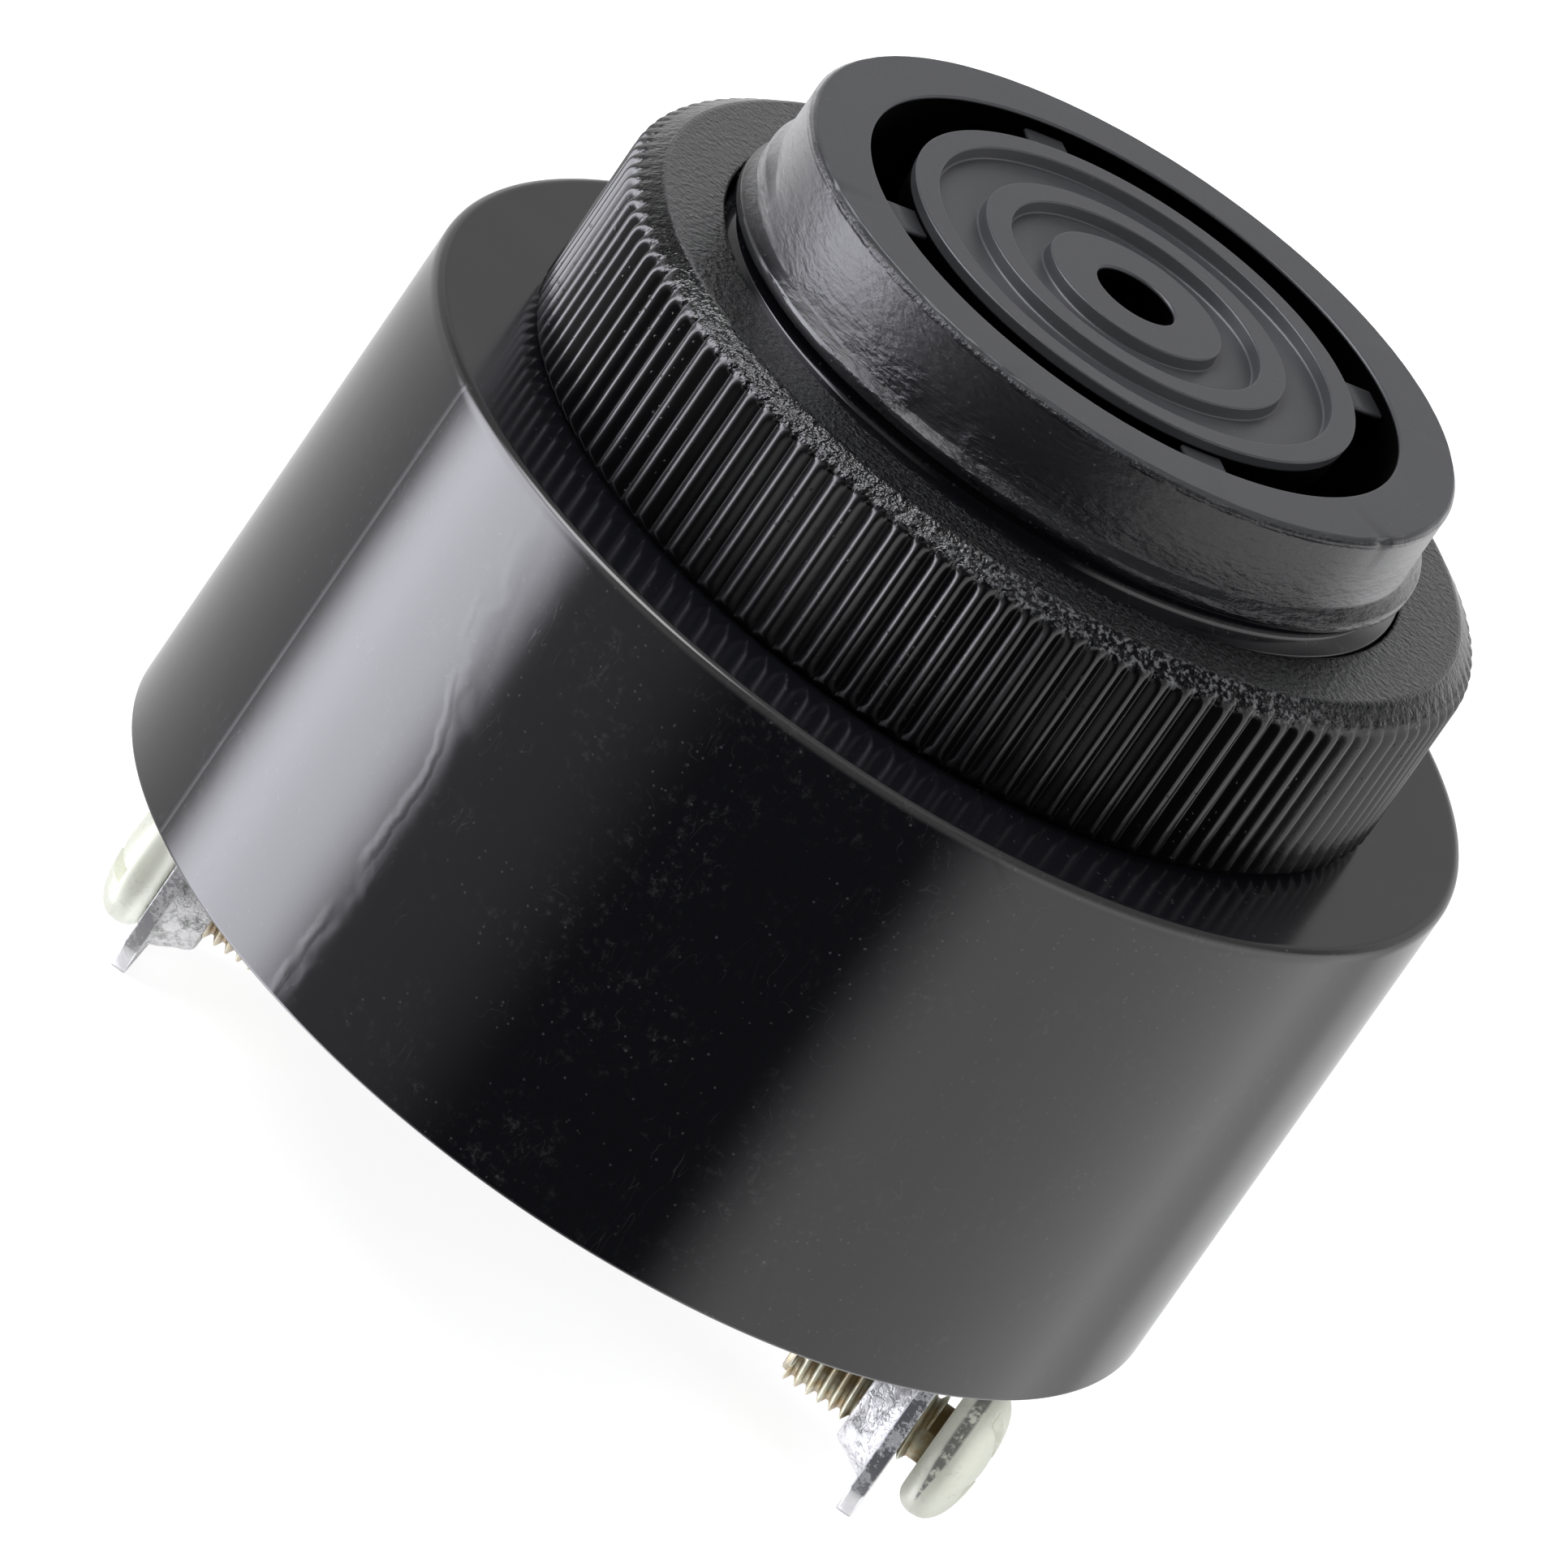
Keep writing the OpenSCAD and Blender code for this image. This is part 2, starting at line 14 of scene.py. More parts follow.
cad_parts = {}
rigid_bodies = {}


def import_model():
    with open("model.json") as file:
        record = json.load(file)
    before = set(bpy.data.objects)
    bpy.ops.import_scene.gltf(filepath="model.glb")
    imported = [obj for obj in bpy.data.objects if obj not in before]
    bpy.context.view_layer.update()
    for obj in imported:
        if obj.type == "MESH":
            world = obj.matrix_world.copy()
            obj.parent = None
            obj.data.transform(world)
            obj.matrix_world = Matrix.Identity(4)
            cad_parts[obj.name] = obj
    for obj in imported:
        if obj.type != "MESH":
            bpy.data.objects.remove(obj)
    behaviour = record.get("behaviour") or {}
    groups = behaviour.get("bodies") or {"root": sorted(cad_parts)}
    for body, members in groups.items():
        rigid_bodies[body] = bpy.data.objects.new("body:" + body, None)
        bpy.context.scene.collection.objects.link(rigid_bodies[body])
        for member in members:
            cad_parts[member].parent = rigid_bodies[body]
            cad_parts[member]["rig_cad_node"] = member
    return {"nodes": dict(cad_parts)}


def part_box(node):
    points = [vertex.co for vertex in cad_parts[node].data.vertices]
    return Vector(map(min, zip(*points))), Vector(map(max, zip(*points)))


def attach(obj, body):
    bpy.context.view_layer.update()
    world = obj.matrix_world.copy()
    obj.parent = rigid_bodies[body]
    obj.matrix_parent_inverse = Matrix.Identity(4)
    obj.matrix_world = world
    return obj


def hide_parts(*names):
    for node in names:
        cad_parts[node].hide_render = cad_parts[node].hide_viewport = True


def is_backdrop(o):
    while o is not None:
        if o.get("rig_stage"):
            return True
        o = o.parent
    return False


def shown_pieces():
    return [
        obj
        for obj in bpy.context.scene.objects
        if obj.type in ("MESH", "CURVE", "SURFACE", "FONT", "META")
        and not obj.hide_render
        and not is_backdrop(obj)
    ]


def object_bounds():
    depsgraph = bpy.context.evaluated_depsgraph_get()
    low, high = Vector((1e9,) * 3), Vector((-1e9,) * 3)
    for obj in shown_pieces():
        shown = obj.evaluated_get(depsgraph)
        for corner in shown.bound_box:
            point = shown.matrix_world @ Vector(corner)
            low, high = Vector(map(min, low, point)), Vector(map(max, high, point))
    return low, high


bl_info = {
    "name": "Panel buzzer",
    "version": (1, 0, 0),
    "blender": (4, 5, 0),
    "location": "3D View > Sidebar > Buzzer",
    "description": "Pieces, finishes and studio of a panel-mount piezo buzzer",
    "category": "Object",
}

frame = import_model()
cad_low, cad_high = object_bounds()
MM = 0.001
TURN = 2 * math.pi

# Places that shapes and finishes share, in millimetres
MOUTH, FACE, GROOVE, DISC_BACK = 11.05, 12.3, 11.8, 10.8
BLADE_FACE, BLADE_SHIFT, SCREW_HEIGHT = 16.6, 1.1, -27.5
CAN_PLACE = 7.62


# ---- Sizes and colours ----


def number(name, text, value, **more):
    return FloatProperty(name=name, description=text, default=value, **more)


def length(name, text, value, low=0.0, high=0.1):
    unit = {"unit": "LENGTH", "subtype": "DISTANCE", "precision": 5}
    return number(name, text, value, min=low, max=high, **unit)


def turn_of(name, text, degrees):
    return number(name, text, math.radians(degrees), subtype="ANGLE")


def whole_number(name, text, value, low, high):
    return IntProperty(name=name, description=text, default=value, min=low, max=high)


def colour(name, text, value):
    look = {"size": 3, "min": 0, "max": 1, "subtype": "COLOR"}
    return FloatVectorProperty(name=name, description=text, default=value, **look)


class HousingSettings(PropertyGroup):
    radius: length("Radius", "Outer radius of the housing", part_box("housing")[1][0])
    crest: length("Thread crest", "Crest radius of the neck's thread", 14.05 * MM)
    root: length("Thread root", "Root radius of the neck's thread", 13.45 * MM)
    pitch: length("Pitch", "Pitch of the neck's thread", 1.5 * MM, 0.0005)
    collar: length("Collar", "Radius of the smooth collar", 13.5 * MM)
    columns: whole_number("Columns", "Faces round the housing", 288, 96, 480)
    plastic: colour("Plastic", "Colour of the plastic", (0.0042, 0.0043, 0.0056))


class NutSettings(PropertyGroup):
    radius: length("Radius", "Radius over the knurl", 17.7 * MM)
    depth: length("Knurl depth", "Depth of the valleys", 0.34 * MM)
    ridges: whole_number("Ridges", "Ridges round the nut", 120, 40, 160)
    turn: turn_of("Turn", "Turn of the first valley from X", -1)
    plastic: colour("Plastic", "Colour of the plastic", (0.0018, 0.0018, 0.0023))


class ScrewSettings(PropertyGroup):
    radius: length("Radius", "Crest radius of the thread", 1.5 * MM)
    pitch: length("Pitch", "Pitch of the thread", 0.5 * MM, 0.0002)
    head: length("Head radius", "Radius of the pan head", 2.8 * MM)
    head_height: length("Head height", "Height of the pan head", 2.1 * MM)
    zinc: colour("Zinc", "Colour of the zinc plating", (0.81, 0.83, 0.72))
    chromate: colour("Chromate", "Colour pooled in the thread", (0.50, 0.37, 0.17))


class TerminalSettings(PropertyGroup):
    thickness: length("Thickness", "Thickness of a blade", 0.6 * MM)
    collar: length("Collar", "Length of the drawn collar", 1.5 * MM)
    tin: colour("Tin", "Colour of the tin plating", (0.84, 0.84, 0.85))


class StudioSettings(PropertyGroup):
    elevation: turn_of("Elevation", "Camera's height over the shoulder", 22.23)
    azimuth: turn_of("Azimuth", "Turn of the camera round the buzzer", 1.5)
    roll: turn_of("Roll", "Turn of the camera about its own view", 34.73)
    distance: length("Distance", "Camera's distance", 965.4 * MM, 0.2, 5)
    lens: number("Lens", "Focal length in millimetres", 623.5)
    softbox: number("Softbox", "Brightness of the box on the left", 8.1)
    card: number("Card", "Brightness of the card on the right", 1.55)
    backdrop: number("Backdrop", "Brightness of the backdrop", 0.83)


# ---- Shader maths ----


class Wire:
    """A shader socket that takes part in Python sums."""

    def __init__(self, sheet, socket):
        self.sheet, self.socket = sheet, socket

    def sum(self, operation, *others):
        return self.sheet.node("ShaderNodeMath", {"operation": operation}, self, *others)

    def __rsub__(self, other):
        return self.sheet.node("ShaderNodeMath", {"operation": "SUBTRACT"}, other, self)


SUMS = {
    "ADD": ("__add__", "__radd__"),
    "SUBTRACT": ("__sub__",),
    "MULTIPLY": ("__mul__", "__rmul__"),
    "DIVIDE": ("__truediv__",),
    "ABSOLUTE": ("__abs__",),
    "LESS_THAN": ("__lt__",),
    "SQRT": ("root",),
    "MAXIMUM": ("most",),
    "ARCTAN2": ("angle_from",),
}
for operation, methods in SUMS.items():
    for method in methods:
        setattr(Wire, method, partialmethod(Wire.sum, operation))


class Sheet:
    """The node tree of one finish. Its spans and depths are in millimetres."""

    def __init__(self, tree):
        self.tree = tree
        tree.nodes.clear()
        self.place = self.node("ShaderNodeTexCoord", out="Object")
        self.x, self.y, self.z = self.split(self.place)

    def split(self, vector):
        parts = self.all("ShaderNodeSeparateXYZ", {}, vector)
        return [Wire(self, output) for output in parts.outputs]

    def all(self, kind, settings, *inputs, **named):
        """Makes a node, sets it, fills its sockets, and returns the node."""
        made = self.tree.nodes.new(kind)
        for key, value in settings.items():
            setattr(made, key, value)
        for key, value in [*enumerate(inputs), *named.items()]:
            if value is not None:
                self.fill(made.inputs[key], value)
        return made

    def fill(self, socket, value):
        if isinstance(value, Wire):
            self.tree.links.new(value.socket, socket)
        elif isinstance(value, tuple) and len(value) == 3:
            socket.default_value = (*value, 1)
        else:
            socket.default_value = value

    def node(self, kind, settings=None, *inputs, out=0, **named):
        made = self.all(kind, settings or {}, *inputs, **named)
        return Wire(self, made.outputs[out])

    def noise(self, scale, detail=3.0, roughness=0.5, at=None):
        kind, grain = "ShaderNodeTexNoise", {"Detail": detail, "Roughness": roughness}
        return self.node(kind, {}, Vector=at or self.place, Scale=scale, **grain)

    def step(self, value, low, high, start=0.0, end=1.0):
        """Eases from start to end while the value goes from low to high."""
        soft = {"interpolation_type": "SMOOTHSTEP"}
        return self.node("ShaderNodeMapRange", soft, value, low, high, start, end)

    def span(self, value, low, high, start=0.0, end=1.0):
        """A step between two places in millimetres."""
        return self.step(value, low * MM, high * MM, start, end)

    def near(self, angle, degrees, far, close, *ends):
        """A step up to an angle round the axis, from two distances in radians."""
        return self.step(abs(angle - math.radians(degrees)), far, close, *ends)

    def sides(self, left, right):
        """One value on the left of the part and another on the right."""
        return self.step(self.x, -0.001, 0.001, left, right)

    def blend(self, share, first, second):
        """Mixes two colours."""
        made = self.all("ShaderNodeMix", {"data_type": "RGBA"}, share)
        self.fill(made.inputs[6], first)
        self.fill(made.inputs[7], second)
        return Wire(self, made.outputs[2])

    def layers(self, base, *coats):
        """Lays (share, colour) coats over a base colour."""
        for share, shade in coats:
            base = self.blend(share, base, shade)
        return base

    def waves(self, direction, scale):
        kind, way = "ShaderNodeTexWave", {"bands_direction": direction}
        return self.node(kind, way, Scale=scale, Vector=self.place)

    def vector(self, x, y, z):
        return self.node("ShaderNodeCombineXYZ", {}, x, y, z)

    def round(self):
        """Radius and angle about the neck's axis."""
        square = self.x * self.x + self.y * self.y
        return square.root(), self.y.angle_from(self.x)

    def specks(self, spacing, size, share):
        """Small round specks: one in each cell of a spacing, in a share of the cells."""
        kind, scale = "ShaderNodeTexVoronoi", 1 / (spacing * MM)
        cell = self.all(kind, {}, Vector=self.place, Scale=scale)
        near, tint = Wire(self, cell.outputs["Distance"]), Wire(self, cell.outputs["Color"])
        tint = self.node("ShaderNodeSeparateColor", {}, tint)
        return self.step(near, size, size * 0.6) * (tint < share)

    def bumps(self, *layers):
        """A normal from layers of (height of 0 to 1, depth)."""
        under = None
        for height, depth in layers:
            depth = {"Strength": 1.0, "Distance": depth * MM}
            under = self.node("ShaderNodeBump", {}, **depth, Height=height, Normal=under)
        return under


def finish(name, build):
    """A material whose shader sockets come from build(sheet), by name."""
    made = bpy.data.materials.new(name)
    made.use_nodes = True
    sheet = Sheet(made.node_tree)
    shader = sheet.node("ShaderNodeBsdfPrincipled")
    sheet.all("ShaderNodeOutputMaterial", {}, shader)
    for key, value in build(sheet).items():
        sheet.fill(shader.socket.node.inputs[key], value)
    return made


# ---- Finishes ----


def along(sheet, value, low, stops):
    """A smooth line through (value, angle in degrees) stops, for marks that wander."""
    line = sheet.tree.nodes.new("ShaderNodeFloatCurve")
    angles = [angle for _, angle in stops]
    bottom, top = min(angles), max(angles)
    curve = line.mapping.curves[0]
    for k, (at, angle) in enumerate(stops):
        spot = ((at - low) / (0 - low), (angle - bottom) / (top - bottom))
        if k < 2:
            curve.points[k].location = spot
        else:
            curve.points.new(*spot)
    line.mapping.update()
    scaled = sheet.node("ShaderNodeMapRange", {}, value, low * MM, 0.0, 0.0, 1.0)
    sheet.fill(line.inputs["Value"], scaled)
    share = Wire(sheet, line.outputs[0])
    return share * math.radians(top - bottom) + math.radians(bottom)


LEFT_FLOW = (
    (-21, -119.5), (-14.8, -119.2), (-10.8, -119.1), (-9, -120.3), (-7.4, -122.5),
    (-6, -124.3), (-2.5, -126.3),
)
RIGHT_FLOW = (
    (-20.9, -57), (-19.5, -62.5), (-17.2, -63.7), (-12.7, -60.8), (-9, -60.2),
    (-6.4, -57), (-3.4, -60.3), (-1, -66),
)


def housing_plastic(sheet):
    """Glossy moulded black on the cup, satin on the face, wrinkled on the collar."""
    tone = tuple(bpy.context.scene.buzzer_housing.plastic)
    z, step, span, noise = sheet.z, sheet.step, sheet.span, sheet.noise
    radius, angle = sheet.round()
    face = span(z, 11.2, 11.35) * span(radius, 13.44, 13.38)
    collar = span(z, 8.3, 8.8) * span(radius, 13.3, 13.42)
    outside = span(radius, 21.3, 21.4)
    ledge = span(z, -0.1, -0.02) * span(z, 0.3, 0.1)
    # Painted shade: the walls of the slots, of the centre hole and behind the disc are made
    # black, and black metal there shows no reflection
    painted_slot_shade = span(abs(radius - MOUTH * MM), 0.1, 0.05).most(span(radius, 1.7, 1.64))
    painted_slot_shade = painted_slot_shade * span(z, 12.24, 12.15)
    deep = span(radius, 11.3, 11.1) * span(z, 11.74, 11.6)
    disc = span(abs(radius - 9.15 * MM), 0.08, 0.04) * span(z, 11.95, 11.84)
    painted_slot_shade = painted_slot_shade.most(deep.most(disc))
    fine = noise(9000, 4, 0.6)
    streak = noise(1, 3, 0.6, sheet.vector(angle * 22, z * 5200, radius * 2000))
    # Dust, lint and scratches on the side
    crumbs = sheet.specks(0.3, 0.2, 0.25) * step(noise(150, 2), 0.36, 0.6)
    haze = step(noise(2300, 4, 0.75), 0.52, 0.8) * step(noise(260, 3, 0.6), 0.42, 0.66)
    lint = step(abs(noise(700, 2) - 0.5), 0.010, 0.002) * step(noise(420, 2), 0.60, 0.68)
    rub = noise(1, 2, at=sheet.vector(angle * 30, z * 260, 0.0))
    scratch = step(abs(rub - 0.5), 0.006, 0.001) * step(noise(500, 2), 0.56, 0.66)
    # The mould's parting line, and two flow marks that wander down the side
    seam = sheet.near(angle, -143.5, 0.008, 0.001) * outside
    wander = noise(900, 2) * 0.02 - 0.01
    left = angle + wander - along(sheet, z, -21, LEFT_FLOW)
    right = angle + wander * 0.5 - along(sheet, z, -21, RIGHT_FLOW)
    patchy = step(noise(330, 2), 0.38, 0.55) * outside
    flow = step(abs(left), 0.014, 0.0) * patchy
    flow = flow + step(abs(right), 0.02, 0.0) * 0.4 * outside
    swell = step(abs(left - 0.03), 0.05, 0.0) * patchy
    # Wrinkles that run round the collar, deeper towards its lower edge
    creased = noise(3600, 4, 0.6, sheet.vector(angle * 5.2 * MM, z, radius))
    low = span(z, 10.6, 8.9) * step(noise(240, 2), 0.36, 0.56)
    edge = span(abs(z - 12.1 * MM), 0.2, 0.06) * collar
    gloss = 1 - step(face + collar + ledge, 0.0, 1.0)
    rough = 0.085 + 0.03 * noise(160, 2) + face * 0.26
    rough = rough + collar * (0.22 + 0.1 * streak) + ledge * 0.07
    # A pale sheen painted where the collar turns away, and a painted highlight, a lighter
    # line round the shoulder's rounded edge
    graze = sheet.node("ShaderNodeLayerWeight", {}, 0.5, out="Facing")
    sheen = step(graze, 0.42, 0.9) * collar
    rim = span(radius, 21.12, 21.2) * span(z, -0.4, -0.2)
    marks = sheet.specks(1.1, 0.06, 0.3) * 0.2 + crumbs * 0.18 + haze * 0.16 * gloss
    marks = marks + (lint * 0.06 + scratch * 0.05) * gloss + seam * 0.06
    return {
        "Base Color": sheet.layers(
            sheet.blend(fine * 0.5, tone, tuple(c * 1.5 for c in tone)),
            (face * (0.75 + 0.5 * fine), (0.038, 0.039, 0.042)),
            (sheen * 0.5, (0.7, 0.7, 0.71)),
            # Painted shade: near-black colour in the slots and hollows
            (painted_slot_shade, (0.0005, 0.0005, 0.0005)),
            # Painted highlight: a lighter band on the shoulder's rounded edge
            (rim * (0.6 + 0.4 * fine), (0.034, 0.034, 0.034)),
            (marks * (1 - painted_slot_shade), (0.20, 0.20, 0.21)),
        ),
        # Painted shade: black metal in the slots and hollows reflects nothing
        "Metallic": painted_slot_shade,
        "Roughness": rough + 0.12 * scratch * outside + 0.1 * seam + painted_slot_shade * 0.9,
        "Normal": sheet.bumps(
            (noise(70, 2, 0.4), 0.07),
            (noise(430, 2, 0.45) * outside, 0.006),
            (seam, 0.0025),
            (flow, 0.0045),
            (swell, 0.008),
            (step(right, -0.02, 0.02) * outside, 0.006),
            (noise(5200, 3, 0.6) * face, 0.004),
            (streak * collar, 0.008),
            (noise(2600, 3, 0.55) * collar, 0.012),
            (creased * collar * (0.3 + low), 0.2),
            (noise(4200, 3, 0.6) * edge, 0.09),
            (fine * (collar + gloss * 0.06), 0.006),
        ),
        "IOR": 1.5,
    }


def nut_plastic(sheet):
    """Satin ridges with beads of flash, a sparkling slope with painted glints towards the
    front right, and a matte grained top.
    """
    tone = tuple(bpy.context.scene.buzzer_nut.plastic)
    step, span, noise, near = sheet.step, sheet.span, sheet.noise, sheet.near
    radius, angle = sheet.round()
    top = span(radius, 16.75, 16.5) * span(sheet.z, 7.2, 7.4)
    slope = span(radius, 17.6, 17.35) * span(sheet.z, 6.6, 6.85) * (1 - top * 0.85)
    wall = 1 - step(slope + top, 0.0, 0.5)
    grit, grain = noise(5200, 2, 0.6), noise(4300, 4, 0.65)
    beads = sheet.specks(0.32, 0.2, 0.4) * step(noise(260, 2), 0.45, 0.6)
    dust = sheet.specks(1.3, 0.06, 0.4)
    lumpy = slope * near(angle, -112, 0.6, 0.15, 0.3, 1.0)
    calm = near(angle, -76, 0.8, 1.25, 0.5, 1.0)
    pale = step(grain, 0.5, 0.68) * (top + slope * 0.3)
    # Painted glints: lighter specks on the slope, only round the front right
    painted_glints = step(grit, 0.46, 0.66) * slope * near(angle, -66, 0.75, 0.35)
    lit = wall * near(angle, -116, 0.5, 0.2)
    return {
        "Base Color": sheet.layers(
            tone,
            (pale, (0.016, 0.017, 0.018)),
            # Painted glints on the slope
            (painted_glints, (0.085, 0.086, 0.09)),
            (dust * 0.4 + beads * wall * 0.04, (0.2, 0.2, 0.2)),
        ),
        "Roughness": 0.2 - 0.06 * top - 0.05 * slope + 0.14 * lit,
        "Normal": sheet.bumps(
            (noise(2400, 2) * lumpy, 0.16),
            (grit * lumpy, 0.12),
            (grain * (top * calm + 0.02), 0.26),
            (beads * wall, 0.03),
            (sheet.specks(0.5, 0.1, 0.25) * top, 0.04),
        ),
        "IOR": 1.5,
    }


def zinc_screw(sheet):
    """Bright zinc with a yellow passivation that pools in the thread."""
    settings = bpy.context.scene.buzzer_screw
    zinc = tuple(settings.zinc)
    x, step, span, noise = sheet.x, sheet.step, sheet.span, sheet.noise
    z = sheet.z + -SCREW_HEIGHT * MM
    y = sheet.y + sheet.sides(-BLADE_SHIFT * MM, BLADE_SHIFT * MM)
    reach = (y * y + z * z).root()
    thread = span(reach, 1.66, 1.56) * span(abs(x), 17.55, 17.4)
    root = span(reach, 1.48, 1.26)
    stain, smudge = noise(1100, 4, 0.6), noise(2600, 4, 0.7)
    left = step(x, 0.001, -0.001)
    gold = sheet.blend(left, (0.74, 0.76, 0.60), (0.60, 0.50, 0.36))
    gold = sheet.blend(step(stain, 0.40, 0.60), tuple(settings.chromate), gold)
    gold = sheet.blend(root * 0.6, gold, (0.17, 0.11, 0.05))
    grey = step(noise(5200, 3, 0.7), 0.5, 0.75) * step(stain, 0.45, 0.6)
    # A rubbed dark band round the side of the right head
    wide = span(z, -1.4, 1.2, 0.06 * MM, 0.3 * MM)
    band = step(abs(abs(x) - 18.15 * MM) / wide, 1.0, 0.55)
    band = band * span(z, -1.7, -1.2) * span(reach, 2.0, 2.2)
    band = band * step(smudge, 0.36, 0.5) * sheet.sides(0.0, 1.0)
    return {
        "Base Color": sheet.layers(
            sheet.blend(smudge * 0.4, zinc, tuple(c * 0.78 for c in zinc)),
            (thread * (0.6 + 0.4 * root), gold),
            (grey * 0.3 * (1 - thread), (0.33, 0.34, 0.31)),
            (band * 0.8, (0.10, 0.10, 0.10)),
        ),
        "Metallic": 0.12 + 0.1 * smudge + 0.3 * thread,
        "Roughness": 0.40 + 0.16 * smudge - 0.06 * thread,
        "Normal": sheet.bumps((smudge, 0.008)),
    }


def tinned_blade(sheet):
    """Tin plating, rubbed pale, with dark patches on the sheared edges."""
    tin = tuple(bpy.context.scene.buzzer_terminal.tin)
    z, step, span, noise = sheet.z, sheet.step, sheet.span, sheet.noise
    patch, fleck = noise(900, 4, 0.65), noise(6500, 3, 0.7)
    crease = step(abs(noise(1500, 3, 0.65) - 0.5), 0.05, 0.0)
    across = abs(sheet.y - sheet.sides(BLADE_SHIFT * MM, -BLADE_SHIFT * MM))
    flat = span(abs(sheet.x), 15.98, 16.04)
    edge = (span(across, 3.0, 3.12) * flat).most(span(z, -30.95, -31.02))
    right = sheet.sides(0.0, 1.0)
    drawn = 1 - flat
    dark = step(patch * 0.55 + fleck * 0.45, 0.53, 0.46) * edge
    dark = dark * span(z, -30.6, -28, 0.5, 1.0)
    grime = step(noise(1400, 4, 0.75), 0.56, 0.36)
    tip = span(z, -30.0, -30.8) * 0.5
    return {
        "Base Color": sheet.layers(
            tin,
            (edge, sheet.blend(right, (0.6, 0.6, 0.61), (0.55, 0.56, 0.59))),
            (dark * (0.5 + 0.35 * right), (0.07, 0.07, 0.085)),
            (step(fleck, 0.62, 0.7) * 0.6, (0.9, 0.9, 0.9)),
            (grime * drawn * 0.55, (0.16, 0.16, 0.16)),
            (crease * grime * drawn * 0.5, (0.08, 0.08, 0.08)),
            (tip, (0.4, 0.4, 0.41)),
        ),
        "Metallic": 0.7 - 0.45 * edge - 0.4 * drawn - 0.4 * tip,
        "Roughness": 0.3 + 0.14 * fleck + 0.15 * edge + 0.1 * drawn,
        "Normal": sheet.bumps((fleck, 0.02), (crease * drawn, -0.02)),
    }


def plain(tone, rough, metal=0.0, grain=2500, depth=0.004):
    """A simple finish with a grain in its colour, gloss and surface."""

    def build(sheet):
        fine, broad = sheet.noise(grain, 4, 0.6), sheet.noise(grain * 0.08, 3)
        lower = tuple(c * 0.75 for c in tone)
        return {
            "Base Color": sheet.blend(fine * 0.5 + broad * 0.5, lower, tone),
            "Metallic": metal,
            "Roughness": rough * 0.85 + rough * 0.3 * fine,
            "Normal": sheet.bumps((fine, depth)),
        }

    return build


def board_laminate(sheet):
    """Green solder mask over a woven laminate."""
    weave = sheet.waves("X", 900.0) * sheet.waves("Y", 900.0)
    cloud = sheet.noise(300, 3)
    mask = (0.010, 0.055, 0.022), (0.02, 0.10, 0.04)
    return {
        "Base Color": sheet.blend(weave * 0.4 + cloud * 0.4, *mask),
        "Roughness": 0.3 + 0.1 * cloud,
        "Normal": sheet.bumps((weave, 0.004)),
        "Coat Weight": 0.3,
    }


def enamelled_wire(sheet):
    """Turns of enamelled copper wire round the choke."""
    turns = sheet.waves("Z", 780.0)
    return {
        # Painted shade: each turn is lighter on its crest and darker in the groove beside
        # the next
        "Base Color": sheet.blend(turns, (0.16, 0.045, 0.012), (0.60, 0.22, 0.07)),
        "Metallic": 0.8,
        "Roughness": 0.3 + 0.1 * sheet.noise(2000),
        "Normal": sheet.bumps((turns, 0.08)),
    }


def can_sleeve(sheet):
    """Printed sleeve of the capacitor with its plain polarity stripe."""
    x, y = sheet.x, sheet.y
    angle = (y - CAN_PLACE * MM).angle_from(x - CAN_PLACE * MM)
    fine = sheet.noise(2600, 3)
    blue = sheet.blend(fine, (0.012, 0.02, 0.05), (0.02, 0.03, 0.07))
    stripe = sheet.step(abs(angle), 0.38, 0.34)
    return {
        "Base Color": sheet.blend(stripe, blue, (0.45, 0.47, 0.5)),
        "Roughness": 0.28 + 0.1 * fine,
        "Normal": sheet.bumps((fine, 0.004)),
    }


def resistor_coat(sheet):
    """Beige lacquer with plain coloured bands across each body."""
    fine = sheet.noise(3000, 3)
    bands = sheet.step(sheet.waves("DIAGONAL", 260.0), 0.85, 0.95)
    beige = sheet.blend(fine, (0.45, 0.32, 0.18), (0.58, 0.43, 0.26))
    return {
        "Base Color": sheet.blend(bands, beige, (0.25, 0.06, 0.02)),
        "Roughness": 0.35 + 0.1 * fine,
        "Normal": sheet.bumps((fine, 0.006)),
    }


def potting_epoxy(sheet):
    """Poured black epoxy: glossy, with slow waves and a few pinholes."""
    flow, fine = sheet.noise(220, 3), sheet.noise(5000, 3)
    pin = sheet.specks(1.9, 0.07, 0.5)
    black = (0.006, 0.006, 0.007), (0.016, 0.016, 0.018)
    return {
        "Base Color": sheet.blend(fine * 0.6 + pin * 0.3, *black),
        "Roughness": 0.16 + 0.1 * flow + 0.2 * pin,
        "Normal": sheet.bumps((flow, 0.08), (pin, -0.03)),
    }


